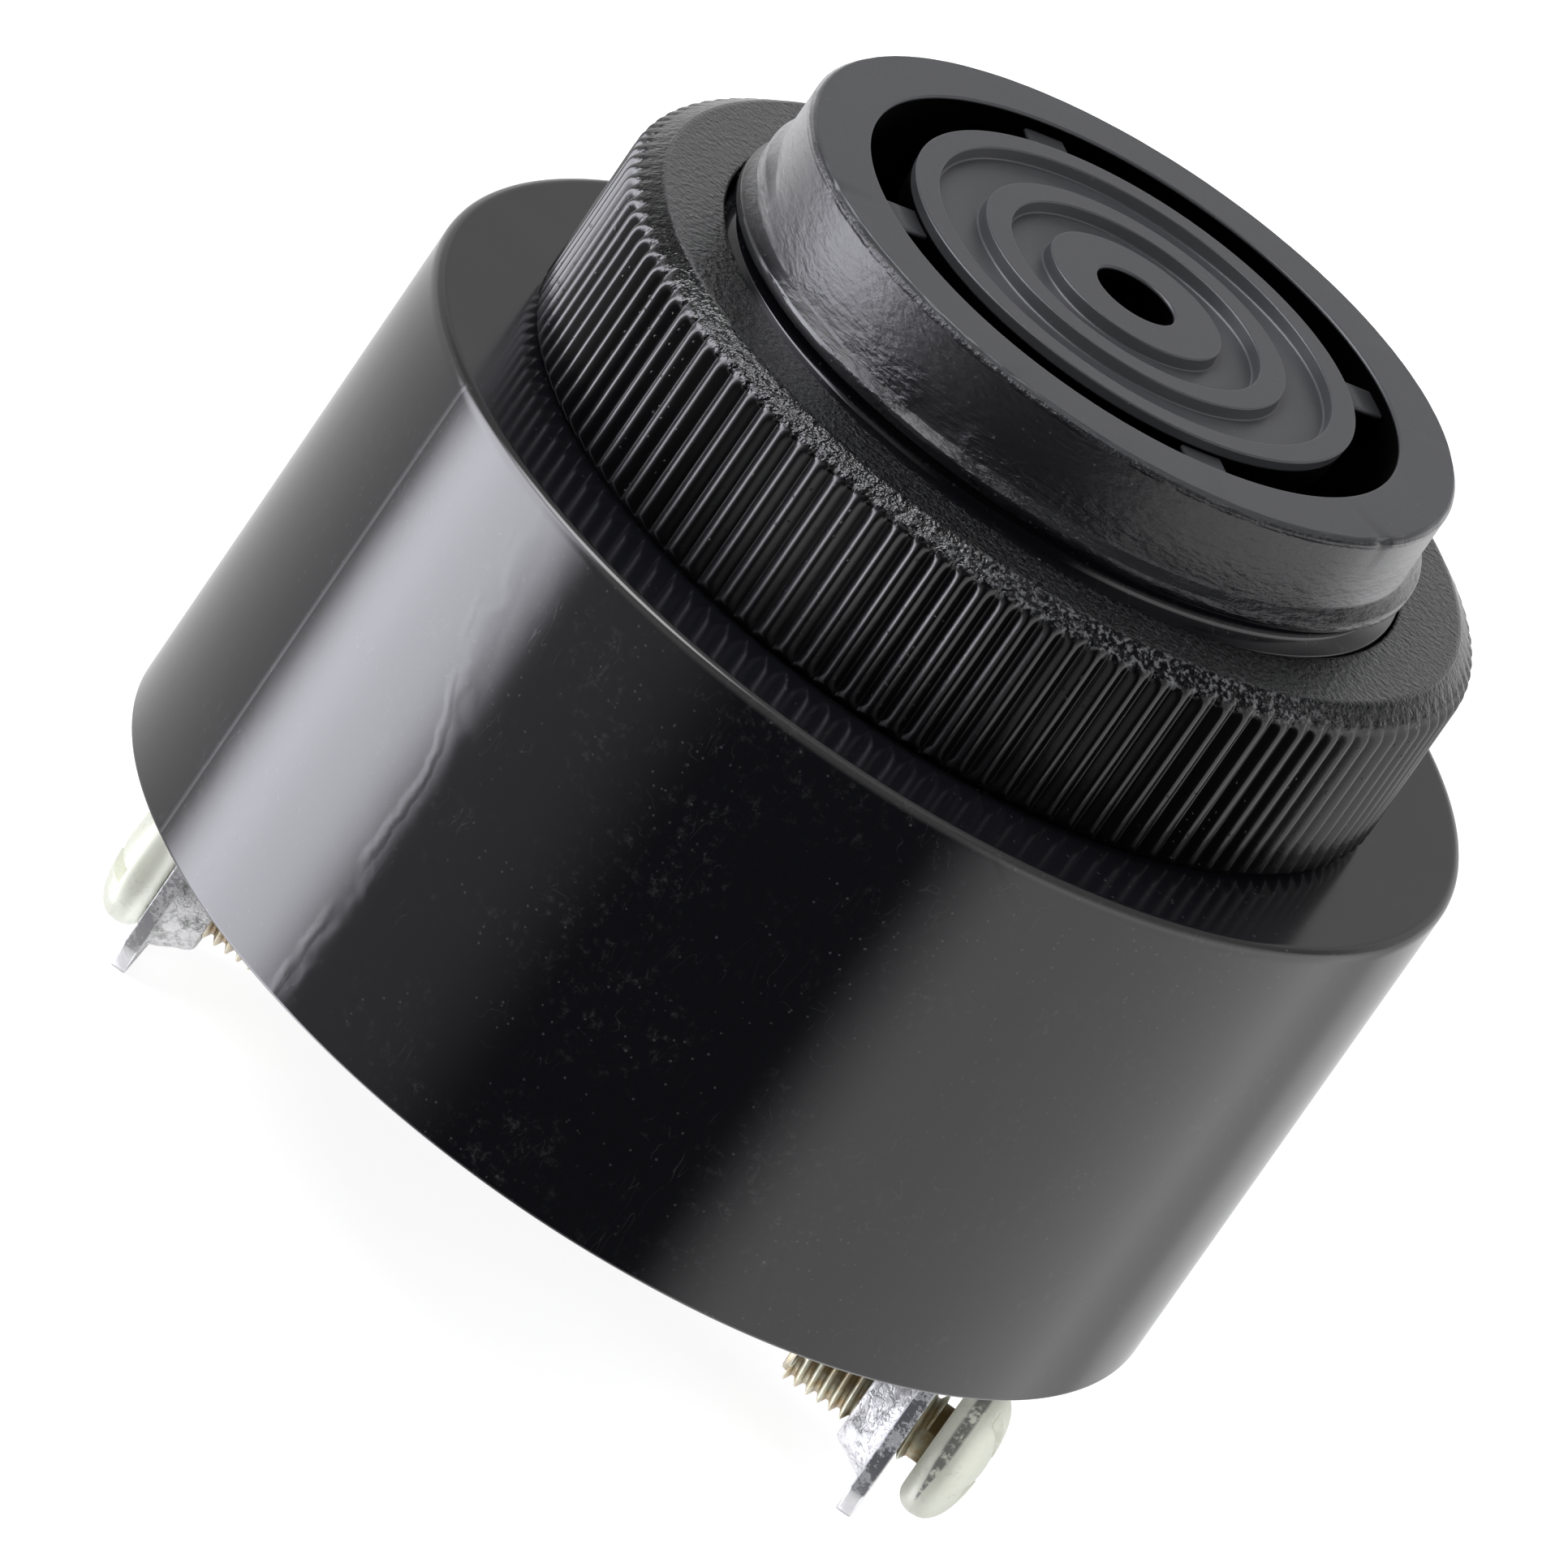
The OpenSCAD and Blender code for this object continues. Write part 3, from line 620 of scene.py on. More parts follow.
FINISHES = {
    "housing_plastic": housing_plastic,
    "nut_plastic": nut_plastic,
    "zinc_screw": zinc_screw,
    "tinned_blade": tinned_blade,
    "epoxy": potting_epoxy,
    "board": board_laminate,
    "copper_wire": enamelled_wire,
    "can_sleeve": can_sleeve,
    "resistor_coat": resistor_coat,
    "plate_brass": plain((0.80, 0.58, 0.25), 0.24, 1.0, 1800, 0.003),
    "piezo_ceramic": plain((0.62, 0.58, 0.48), 0.5, 0.0, 3500, 0.006),
    "silicone": plain((0.56, 0.55, 0.52), 0.45, 0.0, 1500, 0.006),
    "ferrite": plain((0.03, 0.03, 0.032), 0.55, 0.0, 3000, 0.012),
    "case_black": plain((0.012, 0.012, 0.013), 0.42, 0.0, 4200, 0.008),
    "tinned_lead": plain((0.72, 0.72, 0.73), 0.28, 1.0),
    "wire_black": plain((0.012, 0.012, 0.012), 0.4),
    "wire_red": plain((0.45, 0.02, 0.015), 0.4),
    "wire_blue": plain((0.02, 0.07, 0.32), 0.4),
}

made_finishes = {}


def finish_of(slot):
    """The finish of a material slot, made once."""
    if slot not in made_finishes:
        made_finishes[slot] = finish(slot, FINISHES[slot])
    return made_finishes[slot]


# ---- Mesh helpers, in millimetres ----


def rounded(corners, steps=4):
    """A closed outline whose corners (radius, height, fillet) become arcs.

    A supporting point beside each end of an arc keeps the flats flat when shaded.
    """
    out = []
    for i, (x, y, fillet) in enumerate(corners):
        here = Vector((x, y))
        if not fillet:
            out.append(here)
            continue
        back = (Vector(corners[i - 1][:2]) - here).normalized()
        ahead = (Vector(corners[(i + 1) % len(corners)][:2]) - here).normalized()
        half = back.angle(ahead) / 2
        reach = fillet / math.tan(half)
        centre = here + (back + ahead).normalized() * fillet / math.sin(half)
        start, end = here + back * reach - centre, here + ahead * reach - centre
        sweep = math.pi - 2 * half
        out.append(here + back * (reach + fillet * 0.4))
        for k in range(steps + 1):
            t = k / steps
            spoke = start * math.sin((1 - t) * sweep) + end * math.sin(t * sweep)
            out.append(centre + spoke / math.sin(sweep))
        out.append(here + ahead * (reach + fillet * 0.4))
    return out


def placed_object(name, data):
    made = bpy.data.objects.new(name, data)
    bpy.context.scene.collection.objects.link(made)
    return made


def mesh_of(work, name, material=None):
    """A mesh from bmesh work, which ends here."""
    mesh = bpy.data.meshes.new(name)
    work.to_mesh(mesh)
    work.free()
    if material:
        mesh.materials.append(material)
    return mesh


def piece(name, points, faces, material, outwards=False):
    """A smooth, merged mesh object at the origin, from points in millimetres."""
    mesh = bpy.data.meshes.new(name)
    mesh.from_pydata((np.asarray(points) * MM).tolist(), [], faces)
    work = bmesh.new()
    work.from_mesh(mesh)
    bpy.data.meshes.remove(mesh)
    bmesh.ops.remove_doubles(work, verts=work.verts, dist=1e-7)
    bmesh.ops.dissolve_degenerate(work, edges=work.edges, dist=1e-8)
    if outwards:
        bmesh.ops.recalc_face_normals(work, faces=work.faces)
    for face in work.faces:
        face.smooth = True
    return placed_object(name, mesh_of(work, name, material))


def grid(rows, columns, shift=0, start=0):
    """Quads between rows of points that run anticlockwise.

    At the seam, shift climbs that many rows.
    """
    faces = []
    for j in range(rows - 1):
        for i in range(columns):
            lift = shift if i == columns - 1 else 0
            if j + 1 + lift < rows:
                near, far = start + j * columns, start + (j + 1) * columns
                across = lift * columns + (i + 1) % columns
                faces.append((near + i, near + across, far + across, far + i))
    return faces


def backwards(faces):
    return [tuple(reversed(face)) for face in faces]


def turned(rows, columns, start=0.0):
    """Points of rows of (radius, height), each a number or an array over the columns."""
    angle = start + np.arange(columns) * TURN / columns
    points = []
    for radius, height in rows:
        x, y = radius * np.cos(angle), radius * np.sin(angle)
        points.append(np.stack([x, y, np.broadcast_to(height, columns)], 1))
    return np.concatenate(points)


def lathe(columns, strips, start=0.0):
    """Points and faces of strips of rows, each with its climb at the seam."""
    points, faces, count = [], [], 0
    for rows, shift in strips:
        points.append(turned(rows, columns, start))
        faces += grid(len(rows), columns, shift, count * columns)
        count += len(rows)
    return np.concatenate(points), faces


def swing(x, y, angle):
    """A point turned about the origin."""
    cosine, sine = math.cos(angle), math.sin(angle)
    return x * cosine - y * sine, x * sine + y * cosine


def around(items):
    """Each item of a closed line with the next one."""
    return list(zip(items, items[1:] + items[:1]))


THREAD_ROWS = 8


def helix(columns, pitch, edge, low, high, crest, root, width=0.3, flank=0.18):
    """Rows of a right-hand thread between two heights, where it is cut flat.

    edge is the height of a crest's top edge at the first column. crest(edge) gives a
    crest's radius and how far its lower and upper edges are shifted; root(edge) gives
    the radius of the floor above it. width and flank are shares of the pitch.
    """
    share = np.arange(columns) / columns
    first = math.floor((low - edge) / pitch) - 1
    last = math.ceil((high - edge) / pitch) + 1
    soft = 0.08
    rows = []
    for turn in range(first, last + 1):
        top = edge + (turn + share) * pitch
        out, lift_low, lift_top = crest(top)
        floor, under = root(top), root(top - pitch)
        crown = top + lift_top
        belly = np.minimum(top - width * pitch + lift_low, crown - 0.001)
        ahead = crest(top + pitch)
        roof = top + pitch - width * pitch + ahead[1]
        run = np.minimum(flank * pitch, (roof - crown) * 0.35)
        edge_in = np.minimum(0.045, (crown - belly) * 0.3)
        rows += [
            (under + (out - under) * (1 - soft), belly),
            (out, belly + edge_in),
            (out, crown - edge_in),
            (floor + (out - floor) * (1 - soft), crown),
            (floor + (out - floor) * soft, crown + run * 0.9),
            (floor, crown + run * 1.15),
            (floor, roof - run * 1.15),
            (floor + (ahead[0] - floor) * soft, roof - run * 0.9),
        ]
    clipped = []
    for radius, height in rows:
        past = (height <= low) | (height >= high)
        radius = np.where(past, np.where(height <= low, root(low), root(high)), radius)
        clipped.append((radius, np.clip(height, low, high)))
    return clipped


def level(radius):
    """A root that keeps one radius along its thread."""
    return lambda top: radius + 0 * top


def plain_crest(radius):
    """A crest that keeps one radius along its thread."""
    return lambda top: (radius + 0 * top, 0 * top, 0 * top)


def join(name, parts):
    """One merged mesh object from several that share their rims."""
    work = bmesh.new()
    for part in parts:
        work.from_mesh(part.data)
    bmesh.ops.remove_doubles(work, verts=work.verts, dist=2e-7)
    mesh = mesh_of(work, name, parts[0].data.materials[0])
    for part in parts:
        discard(part)
    return placed_object(name, mesh)


def discard(part):
    mesh = part.data
    bpy.data.objects.remove(part)
    bpy.data.meshes.remove(mesh)


def applied(part, name):
    """A plain, smooth mesh object of a piece with its modifiers worked in."""
    depsgraph = bpy.context.evaluated_depsgraph_get()
    mesh = bpy.data.meshes.new_from_object(part.evaluated_get(depsgraph))
    part.modifiers.clear()
    discard(part)
    for face in mesh.polygons:
        face.use_smooth = True
    return placed_object(name, mesh)


def bevelled(part, name, width, segments, degrees):
    """Softens the edges of a piece that are sharper than an angle."""
    bevel = part.modifiers.new("Edges", "BEVEL")
    bevel.width, bevel.segments = width * MM, segments
    bevel.limit_method, bevel.angle_limit = "ANGLE", math.radians(degrees)
    return applied(part, name)


def dress(part, body, nodes):
    """Hands a finished piece to the frame."""
    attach(part, body)
    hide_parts(*nodes)


# ---- Repeats ----


def ring_tree():
    """Geometry nodes that repeat a piece round the Z axis and weld the copies."""
    tree = bpy.data.node_groups.new("Ring of copies", "GeometryNodeTree")
    for name, way, kind in (
        ("Geometry", "INPUT", "Geometry"), ("Copies", "INPUT", "Int"),
        ("Weld distance", "INPUT", "Float"), ("Material", "INPUT", "Material"),
        ("Geometry", "OUTPUT", "Geometry"),
    ):
        tree.interface.new_socket(name, in_out=way, socket_type="NodeSocket" + kind)
    kinds = {
        "given": "NodeGroupInput", "points": "GeometryNodePoints",
        "index": "GeometryNodeInputIndex", "share": "ShaderNodeMath",
        "angle": "ShaderNodeMath", "turn": "ShaderNodeCombineXYZ",
        "spread": "GeometryNodeInstanceOnPoints", "real": "GeometryNodeRealizeInstances",
        "weld": "GeometryNodeMergeByDistance", "paint": "GeometryNodeSetMaterial",
        "result": "NodeGroupOutput",
    }
    nodes = {name: tree.nodes.new(kind) for name, kind in kinds.items()}
    nodes["share"].operation, nodes["angle"].operation = "DIVIDE", "MULTIPLY"
    nodes["share"].inputs[0].default_value = TURN
    for source, output, target, socket in (
        ("given", "Copies", "points", "Count"), ("given", "Copies", "share", 1),
        ("share", 0, "angle", 0), ("index", 0, "angle", 1), ("angle", 0, "turn", "Z"),
        ("points", 0, "spread", "Points"), ("given", "Geometry", "spread", "Instance"),
        ("turn", 0, "spread", "Rotation"), ("spread", 0, "real", 0), ("real", 0, "weld", 0),
        ("given", "Weld distance", "weld", "Distance"), ("weld", 0, "paint", "Geometry"),
        ("given", "Material", "paint", "Material"), ("paint", 0, "result", 0),
    ):
        tree.links.new(nodes[source].outputs[output], nodes[target].inputs[socket])
    return tree


def ring_of(part, name, copies, material):
    """Repeats a piece round the axis and returns the welded mesh."""
    tree = bpy.data.node_groups.get("Ring of copies") or ring_tree()
    work = part.modifiers.new("Ring", "NODES")
    work.node_group = tree
    values = {"Copies": copies, "Weld distance": 2e-7, "Material": material}
    for item in tree.interface.items_tree:
        if item.in_out == "INPUT" and item.name in values:
            work[item.identifier] = values[item.name]
    return applied(part, name)


# ---- Housing ----

# The angle where the neck's columns start, and the height of a crest's top edge there
THREAD_START, THREAD_EDGE = math.radians(-162.5), 8.41
THREAD_LOW, THREAD_HIGH = 0.25, 9.98


def ease(value, start, end):
    t = np.clip((value - start) / (end - start), 0, 1)
    return t * t * (3 - 2 * t)


def neck_thread(settings):
    """Rows of the neck's thread, whose last turn thins and fades into the collar."""
    crest, root = settings.crest / MM, settings.root / MM
    pitch, collar = settings.pitch / MM, settings.collar / MM

    def crest_at(top):
        late, gone = ease(top, 8.95, 9.75), ease(top, 9.88, 9.97)
        radius = crest - 0.27 * late
        radius = radius + (collar - radius) * gone
        return radius, -0.5 * late, -0.3 * late - 0.34 * gone

    def root_at(top):
        relief = ease(top, 9.3, 9.7) * (1 - ease(top, 9.88, 9.95))
        plain = ease(top, 8.42, 8.56) * (1 - ease(top, 9.2, 9.4))
        plain = np.maximum(plain, ease(top, 9.88, 9.95))
        return root + (collar - root) * plain - 0.1 * relief

    heights = THREAD_EDGE, THREAD_LOW, THREAD_HIGH
    return helix(settings.columns, pitch, *heights, crest_at, root_at)


CHIPS = (-142.5, 0.08, 1.2), (-24.0, 0.09, 1.4), (-97.0, 0.04, 1.2), (-60.0, 0.04, 1.6)


def ragged(radius, height, columns):
    """One row of the cup; the head's rim is left ragged by the mould, with chips."""
    if not (height > 12.0 and radius > 13.1):
        return radius, height
    chance = np.random.default_rng(int(height * 1000))
    rough = np.convolve(chance.normal(0, 1, columns + 2), (0.25, 0.5, 0.25), "valid")
    turn = np.degrees(THREAD_START) + np.arange(columns) * 360 / columns
    inward = 0.012 * rough
    for at, deep, wide in CHIPS:
        away = (turn - at + 180) % 360 - 180
        inward = inward + deep * np.exp(-((away / wide) ** 2))
    return radius - np.abs(inward), height - 0.6 * np.abs(inward)


class BUZZER_OT_housing(Operator):
    """Builds the moulded housing with its threaded neck, outlet disc and spokes"""

    bl_idname = "buzzer.housing"
    bl_label = "Housing"

    def execute(self, context):
        settings = context.scene.buzzer_housing
        plastic = finish_of("housing_plastic")
        spokes = ring_of(spoke_bar(plastic), "housing_spokes", 4, plastic)
        parts = [housing_cup(settings, plastic), outlet_disc(plastic), spokes]
        whole = join("housing_moulding", parts)
        dress(whole, "buzzer", ["housing"])
        return {"FINISHED"}


def housing_cup(settings, plastic):
    """The thread's rows, then the outline of the cup from the collar round to the neck."""
    columns, outer = settings.columns, settings.radius / MM
    root, collar = settings.root / MM, settings.collar / MM
    cup = rounded([
        (collar, THREAD_HIGH, 0), (collar, THREAD_HIGH + 0.4, 0), (collar, 11.85, 0),
        (collar, 12.08, 0.04), (collar - 0.2, FACE, 0.05), (12.95, FACE, 0),
        (MOUTH, FACE, 0.07), (MOUTH, -2.0, 0.1), (15.7, -2.0, 0.1), (15.7, -2.8, 0.1),
        (17.5, -2.8, 0.1), (17.5, -2.0, 0.1), (18.9, -2.0, 0.2), (18.9, -17.0, 0.1),
        (19.9, -17.0, 0.1), (19.9, -20.6, 0.05), (20.2, -20.9, 0.05),
        (outer, -20.9, 0.12), (outer, 0.0, 0.35), (root, 0.0, 0.12), (root, THREAD_LOW, 0),
    ])
    cup = [ragged(spot.x, spot.y, columns) for spot in cup]
    strips = (neck_thread(settings), THREAD_ROWS), (cup, 0)
    return piece("housing_cup", *lathe(columns, strips, THREAD_START), plastic)


DISC_HOLE, DISC_COLUMNS = 1.625, 192


def outlet_disc(plastic):
    """The disc in the outlet with its two grooves and its hub."""
    disc = rounded([
        (DISC_HOLE, DISC_BACK, 0.1), (9.05, DISC_BACK, 0.1), (9.2, FACE, 0.06),
        (8.2, FACE, 0.05), (8.15, GROOVE, 0.08), (6.3, GROOVE, 0.08), (6.25, FACE, 0.05),
        (5.2, FACE, 0.05), (5.15, GROOVE, 0.08), (3.6, GROOVE, 0.08), (3.55, FACE, 0.05),
        (DISC_HOLE, FACE, 0.07),
    ])
    return piece("housing_disc", *lathe(DISC_COLUMNS, [(disc + disc[:1], 0)]), plastic)


def spoke_bar(material):
    """One spoke between the disc and the neck's bore, with softened edges."""
    side, low, high, turn = 0.85, DISC_BACK, GROOVE, math.radians(34.5)
    corners = (-side, low), (side, low), (side, high), (-side, high)
    outline = rounded([(*corner, 0.08) for corner in corners], 3)
    ends = [(*swing(x, y, turn), z) for x in (8.75, 11.25) for y, z in outline]
    count = len(outline)
    faces = backwards(grid(2, count))
    faces += [tuple(range(count)), tuple(range(2 * count - 1, count - 1, -1))]
    return piece("spoke", ends, faces, material, True)


# ---- Ring nut ----

NUT_HEIGHT, NUT_BORE, NUT_FLAT = 7.5, 14.13, 16.6
NUT_SLOPE, NUT_FOOT, NUT_MOUTH = 0.75, 0.5, 0.1
NUT_PITCH = 1.5
RIDGE_STOPS = (
    0.0, 0.03, 0.1, 0.2, 0.3, 0.37, 0.43, 0.5, 0.57, 0.63, 0.7, 0.8, 0.9, 0.97, 1.0,
)
CREST_SOFT, VALLEY_SOFT = 0.42, 0.1


def ridge_height(share):
    """Height of a ridge at a share of its width: a rounded crest on straight flanks."""
    across = abs(2 * share - 1)
    whole = 1 - CREST_SOFT / 2 - VALLEY_SOFT / 2
    if across < CREST_SOFT:
        drop = across**2 / (2 * CREST_SOFT)
    elif across < 1 - VALLEY_SOFT:
        drop = across - CREST_SOFT / 2
    else:
        drop = whole - (1 - across) ** 2 / (2 * VALLEY_SOFT)
    return 1 - drop / whole


def nut_wedge(settings, material):
    """The outside of one ridge, between the bore's mouths at the foot and the top."""
    crest, depth = settings.radius / MM, settings.depth / MM
    width = TURN / settings.ridges
    slope = NUT_SLOPE / (crest - NUT_FLAT)
    columns, soft = len(RIDGE_STOPS), 0.34
    outlines = []
    for share in RIDGE_STOPS:
        out = crest - depth + depth * ridge_height(share)
        foot = NUT_FOOT - (crest - out)
        brow = NUT_HEIGHT - NUT_SLOPE + (crest - out) * slope
        rounding = []
        for t in (0.25, 0.5, 0.75, 1.0):
            rise = (t * t * 0.75 * slope) - (1 - t) ** 2
            rounding.append((out - t * t * 0.75 * soft, brow + rise * soft))
        outlines.append([
            (out - foot, 0.0), (out - foot * 0.3, foot * 0.7), (out - 0.02, foot * 0.96),
            (out, foot + 0.05), (out, foot + 0.4), (out, 3.0),
            (out, brow - soft - 0.2), (out, brow - soft), *rounding,
            (NUT_FLAT + 0.25, NUT_HEIGHT - 0.25 * slope),
            (NUT_FLAT + 0.08, NUT_HEIGHT - 0.035),
            (NUT_FLAT - 0.08, NUT_HEIGHT), (NUT_FLAT - 0.25, NUT_HEIGHT),
        ])
    levels = len(outlines[0])
    points = []

    def place(share, radius, height):
        angle = settings.turn + share * width
        points.append((radius * math.cos(angle), radius * math.sin(angle), height))

    for level in range(levels):
        for column, share in enumerate(RIDGE_STOPS):
            place(share, *outlines[column][level])
    faces = []
    for level in range(levels - 1):
        for column in range(columns - 1):
            a = level * columns + column
            faces.append((a, a + 1, a + 1 + columns, a + columns))
    # The flat top and the foot narrow to three columns towards the bore
    mouths = []
    for height, lip in ((NUT_HEIGHT, NUT_MOUTH), (0.0, -NUT_MOUTH)):
        mouths.append(len(points))
        for out, down in ((0.25, 0.0), (0.1, 0.0), (0.03, lip * 0.3), (0.0, lip)):
            for k in range(4):
                place(k / 3, NUT_BORE + out, height - down)
    breaks = (0, 4, 10, 14)
    top_row = (levels - 1) * columns
    for k in range(3):
        outer = list(range(breaks[k], breaks[k + 1] + 1))
        top, foot = (start + k for start in mouths)
        faces.append((top + 1, top, *[top_row + c for c in outer]))
        faces.append((foot, foot + 1, *reversed(outer)))
        for a, b in ((top + row, foot + row) for row in (0, 4, 8)):
            faces.append((a, a + 1, a + 5, a + 4))
            faces.append((b + 1, b, b + 4, b + 5))
    return piece("ridge", points, faces, material)


class BUZZER_OT_nut(Operator):
    """Builds the knurled ring nut with its tapped bore"""

    bl_idname = "buzzer.nut"
    bl_label = "Ring nut"

    def execute(self, context):
        settings = context.scene.buzzer_nut
        plastic = finish_of("nut_plastic")
        ridge = nut_wedge(settings, plastic)
        outside = ring_of(ridge, "nut_outside", settings.ridges, plastic)
        columns = settings.ridges * 3
        heights = 3.0, NUT_MOUTH, NUT_HEIGHT - NUT_MOUTH
        crest, root = plain_crest(NUT_BORE + 0.5), level(NUT_BORE)
        rows = helix(columns, NUT_PITCH, *heights, crest, root)
        faces = backwards(grid(len(rows), columns, THREAD_ROWS))
        bore = piece("nut_bore", turned(rows, columns, settings.turn), faces, plastic)
        whole = join("ring_nut_knurled", [outside, bore])
        dress(whole, "nut", ["ring_nut"])
        return {"FINISHED"}


# ---- Screws and terminals ----


def on_side(points, side):
    """Puts points drawn on the right-hand terminal's own axis on one side of the part."""
    return (np.asarray(points, float) + (0, -BLADE_SHIFT, SCREW_HEIGHT)) * (side, side, 1)


def along_x(points):
    """Turns points from about Z to about X, with Z pointing outwards along X."""
    points = np.asarray(points, float)
    return np.stack([points[:, 2], points[:, 0], points[:, 1]], 1)


BOX = (0, 1, 3, 2), (4, 6, 7, 5), (0, 4, 5, 1), (2, 3, 7, 6), (0, 2, 6, 4), (1, 5, 7, 3)


def screw(name, side, gap, turn, settings):
    """A threaded shank and a rounded pan head with a worn slot and a shallow cross."""
    crest, pitch = settings.radius / MM, settings.pitch / MM
    head, tall = settings.head / MM, settings.head_height / MM
    root, belly, columns = crest - 0.3, 0.8, 72
    where = side, gap, finish_of("zinc_screw")
    end, low, high = -6.0, -5.75, -0.35
    crests, roots = plain_crest(crest), level(root)
    thread = helix(columns, pitch, -3.0, low, high, crests, roots, 0.14, 0.36)
    tip = [(0.0, end), (0.6, end), (root - 0.15, end), (root - 0.05, end + 0.05)]
    tip.append((root, low))
    neck = [(root, high), (root, 0.2), (0.0, 0.2)]
    shank = lathe(columns, ((tip, 0), (thread, THREAD_ROWS), (neck, 0)))
    shank = placed(name + "_shank", *shank, *where)
    turns = [k / 10 * math.pi / 2 for k in range(11)]
    rows = [(0.0, 0.0)]
    for t in turns:
        rows.append((head - 0.75 + 0.75 * math.sin(t), belly * (1 - math.cos(t))))
    for t in turns[1:-1]:
        rise = (tall - belly) * math.sin(t) ** 0.8
        rows.append((head * math.cos(t) ** 0.8, belly + rise))
    rows.append((0.0, tall))
    top = placed(name + "_head", *lathe(columns, [(rows, 0)]), *where)
    cutters = []
    for width, reach, deep in ((0.7, 3.2, 0.72), (3.4, 0.36, 0.6)):
        box = [
            (*swing(across, along, math.radians(turn)), tall + height)
            for height in (-deep, 0.6)
            for across in (-width / 2, width / 2)
            for along in (-reach, reach)
        ]
        cutter = placed("slot_cutter", box, BOX, *where)
        cutters.append(cutter)
        cut = top.modifiers.new("Slot", "BOOLEAN")
        cut.operation, cut.object, cut.solver = "DIFFERENCE", cutter, "EXACT"
    top = bevelled(top, name + "_slotted", 0.05, 2, 50)
    for cutter in cutters:
        discard(cutter)
    return join(name, [shank, top])


def placed(name, points, faces, side, gap, material):
    """A closed piece drawn about Z, turned to lie along X on one side of the part."""
    points = along_x(points)
    points[:, 0] += BLADE_FACE + gap
    return piece(name, on_side(points, side), faces, material, True)


class BUZZER_OT_screws(Operator):
    """Builds the two terminal screws, the right one backed out as it stands"""

    bl_idname = "buzzer.screws"
    bl_label = "Terminal screws"

    def execute(self, context):
        settings = context.scene.buzzer_screw
        for word, side, gap, turn in (("right", 1, 0.85, 24), ("left", -1, 0.0, 82)):
            made = screw("terminal_screw_" + word, side, gap, turn, settings)
            dress(made, word + "_screw", ["screw_" + word])
        return {"FINISHED"}


def blade(name, side, settings):
    """A blade with its sheared edges, and the collar drawn from it for the screw."""
    thick, drawn = settings.thickness / MM, settings.collar / MM
    columns, tip, shoulder, tail = 48, -3.55, 8.9, 11.7
    outline = [
        (3.15, tip + 1.4), (3.15, shoulder), (1.2, shoulder), (1.2, tail), (-1.2, tail),
        (-1.2, shoulder), (-3.15, shoulder), (-3.15, tip + 1.4), (-2.35, tip), (2.35, tip),
    ]
    bore, root, end, foot = 1.55, 2.95, 2.1, -thick - drawn
    profile = [
        (root, -thick), (root - 0.12, -thick - 0.04), (root - 0.35, -thick - 0.28 * drawn),
        (root - 0.6, -thick - 0.55 * drawn), (end + 0.06, -thick - 0.85 * drawn),
        (end, foot + 0.06), (end - 0.08, foot), (bore + 0.06, foot), (bore, foot + 0.08),
        (bore, -0.35), (bore + 0.08, -0.12), (bore + 0.3, 0.0),
    ]
    angle = np.arange(columns) * TURN / columns
    crinkle = 0.05 * np.sin(5 * angle + 1) + 0.035 * np.sin(11 * angle)
    rows = [(radius + crinkle * (2 <= k <= 4), x) for k, (radius, x) in enumerate(profile)]
    work = bmesh.new()
    verts = [work.verts.new(spot) for spot in along_x(turned(rows, columns))]
    for face in grid(len(rows), columns):
        work.faces.new([verts[i] for i in face])
    rims = []
    for x, hole in ((-thick, verts[:columns]), (0.0, verts[-columns:])):
        rim = [work.verts.new((x, y, z)) for y, z in outline]
        edges = [work.edges.new(pair) for pair in around(rim)]
        edges += [work.edges.get(pair) for pair in around(hole)]
        bmesh.ops.triangle_fill(work, use_beauty=True, edges=edges)
        rims.append(around(rim))
    for (a, b), (c, d) in zip(*rims):
        work.faces.new((a, b, d, c))
    bmesh.ops.recalc_face_normals(work, faces=work.faces)
    for v in work.verts:
        v.co.x += BLADE_FACE
    for v, spot in zip(work.verts, on_side([v.co[:] for v in work.verts], side)):
        v.co = Vector(spot) * MM
    whole = placed_object(name + "_sharp", mesh_of(work, name, finish_of("tinned_blade")))
    whole = bevelled(whole, name + "_bevelled", 0.06, 3, 60)
    whole.modifiers.new("Flat faces", "WEIGHTED_NORMAL").weight = 80
    return applied(whole, name)


class BUZZER_OT_terminals(Operator):
    """Builds the two tinned terminal blades with their drawn collars"""

    bl_idname = "buzzer.terminals"
    bl_label = "Terminals"

    def execute(self, context):
        settings = context.scene.buzzer_terminal
        for word, side in (("right", 1), ("left", -1)):
            made = blade("terminal_blade_" + word, side, settings)
            dress(made, "buzzer", ["terminal_" + word])
        return {"FINISHED"}


# ---- Inside ----

INSIDE = {
    "piezo_plate": "plate_brass",
    "piezo_ceramic": "piezo_ceramic",
    "support_ring": "silicone",
    "circuit_board": "board",
    "potting": "epoxy",
    "choke_core": "ferrite",
    "choke_winding": "copper_wire",
    "capacitor": "can_sleeve",
    "transistor": "case_black",
    "diode": "case_black",
    "wire_plate": "wire_black",
    "wire_ceramic": "wire_red",
    "wire_feedback": "wire_blue",
}


class BUZZER_OT_inside(Operator):
    """Finishes the sounder, the board, its components and the epoxy"""

    bl_idname = "buzzer.inside"
    bl_label = "Inside"

    def execute(self, context):
        taken = {o.get("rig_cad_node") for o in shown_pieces()}
        for node, holder in frame["nodes"].items():
            if node not in taken:
                continue
            other = "tinned_lead" if node.endswith("_leads") else "resistor_coat"
            if not holder.material_slots:
                holder.data.materials.append(None)
            for material_slot in holder.material_slots:
                material_slot.material = finish_of(INSIDE.get(node, other))
        return {"FINISHED"}


# ---- Studio ----


def cos(degrees):
    return math.cos(math.radians(degrees))


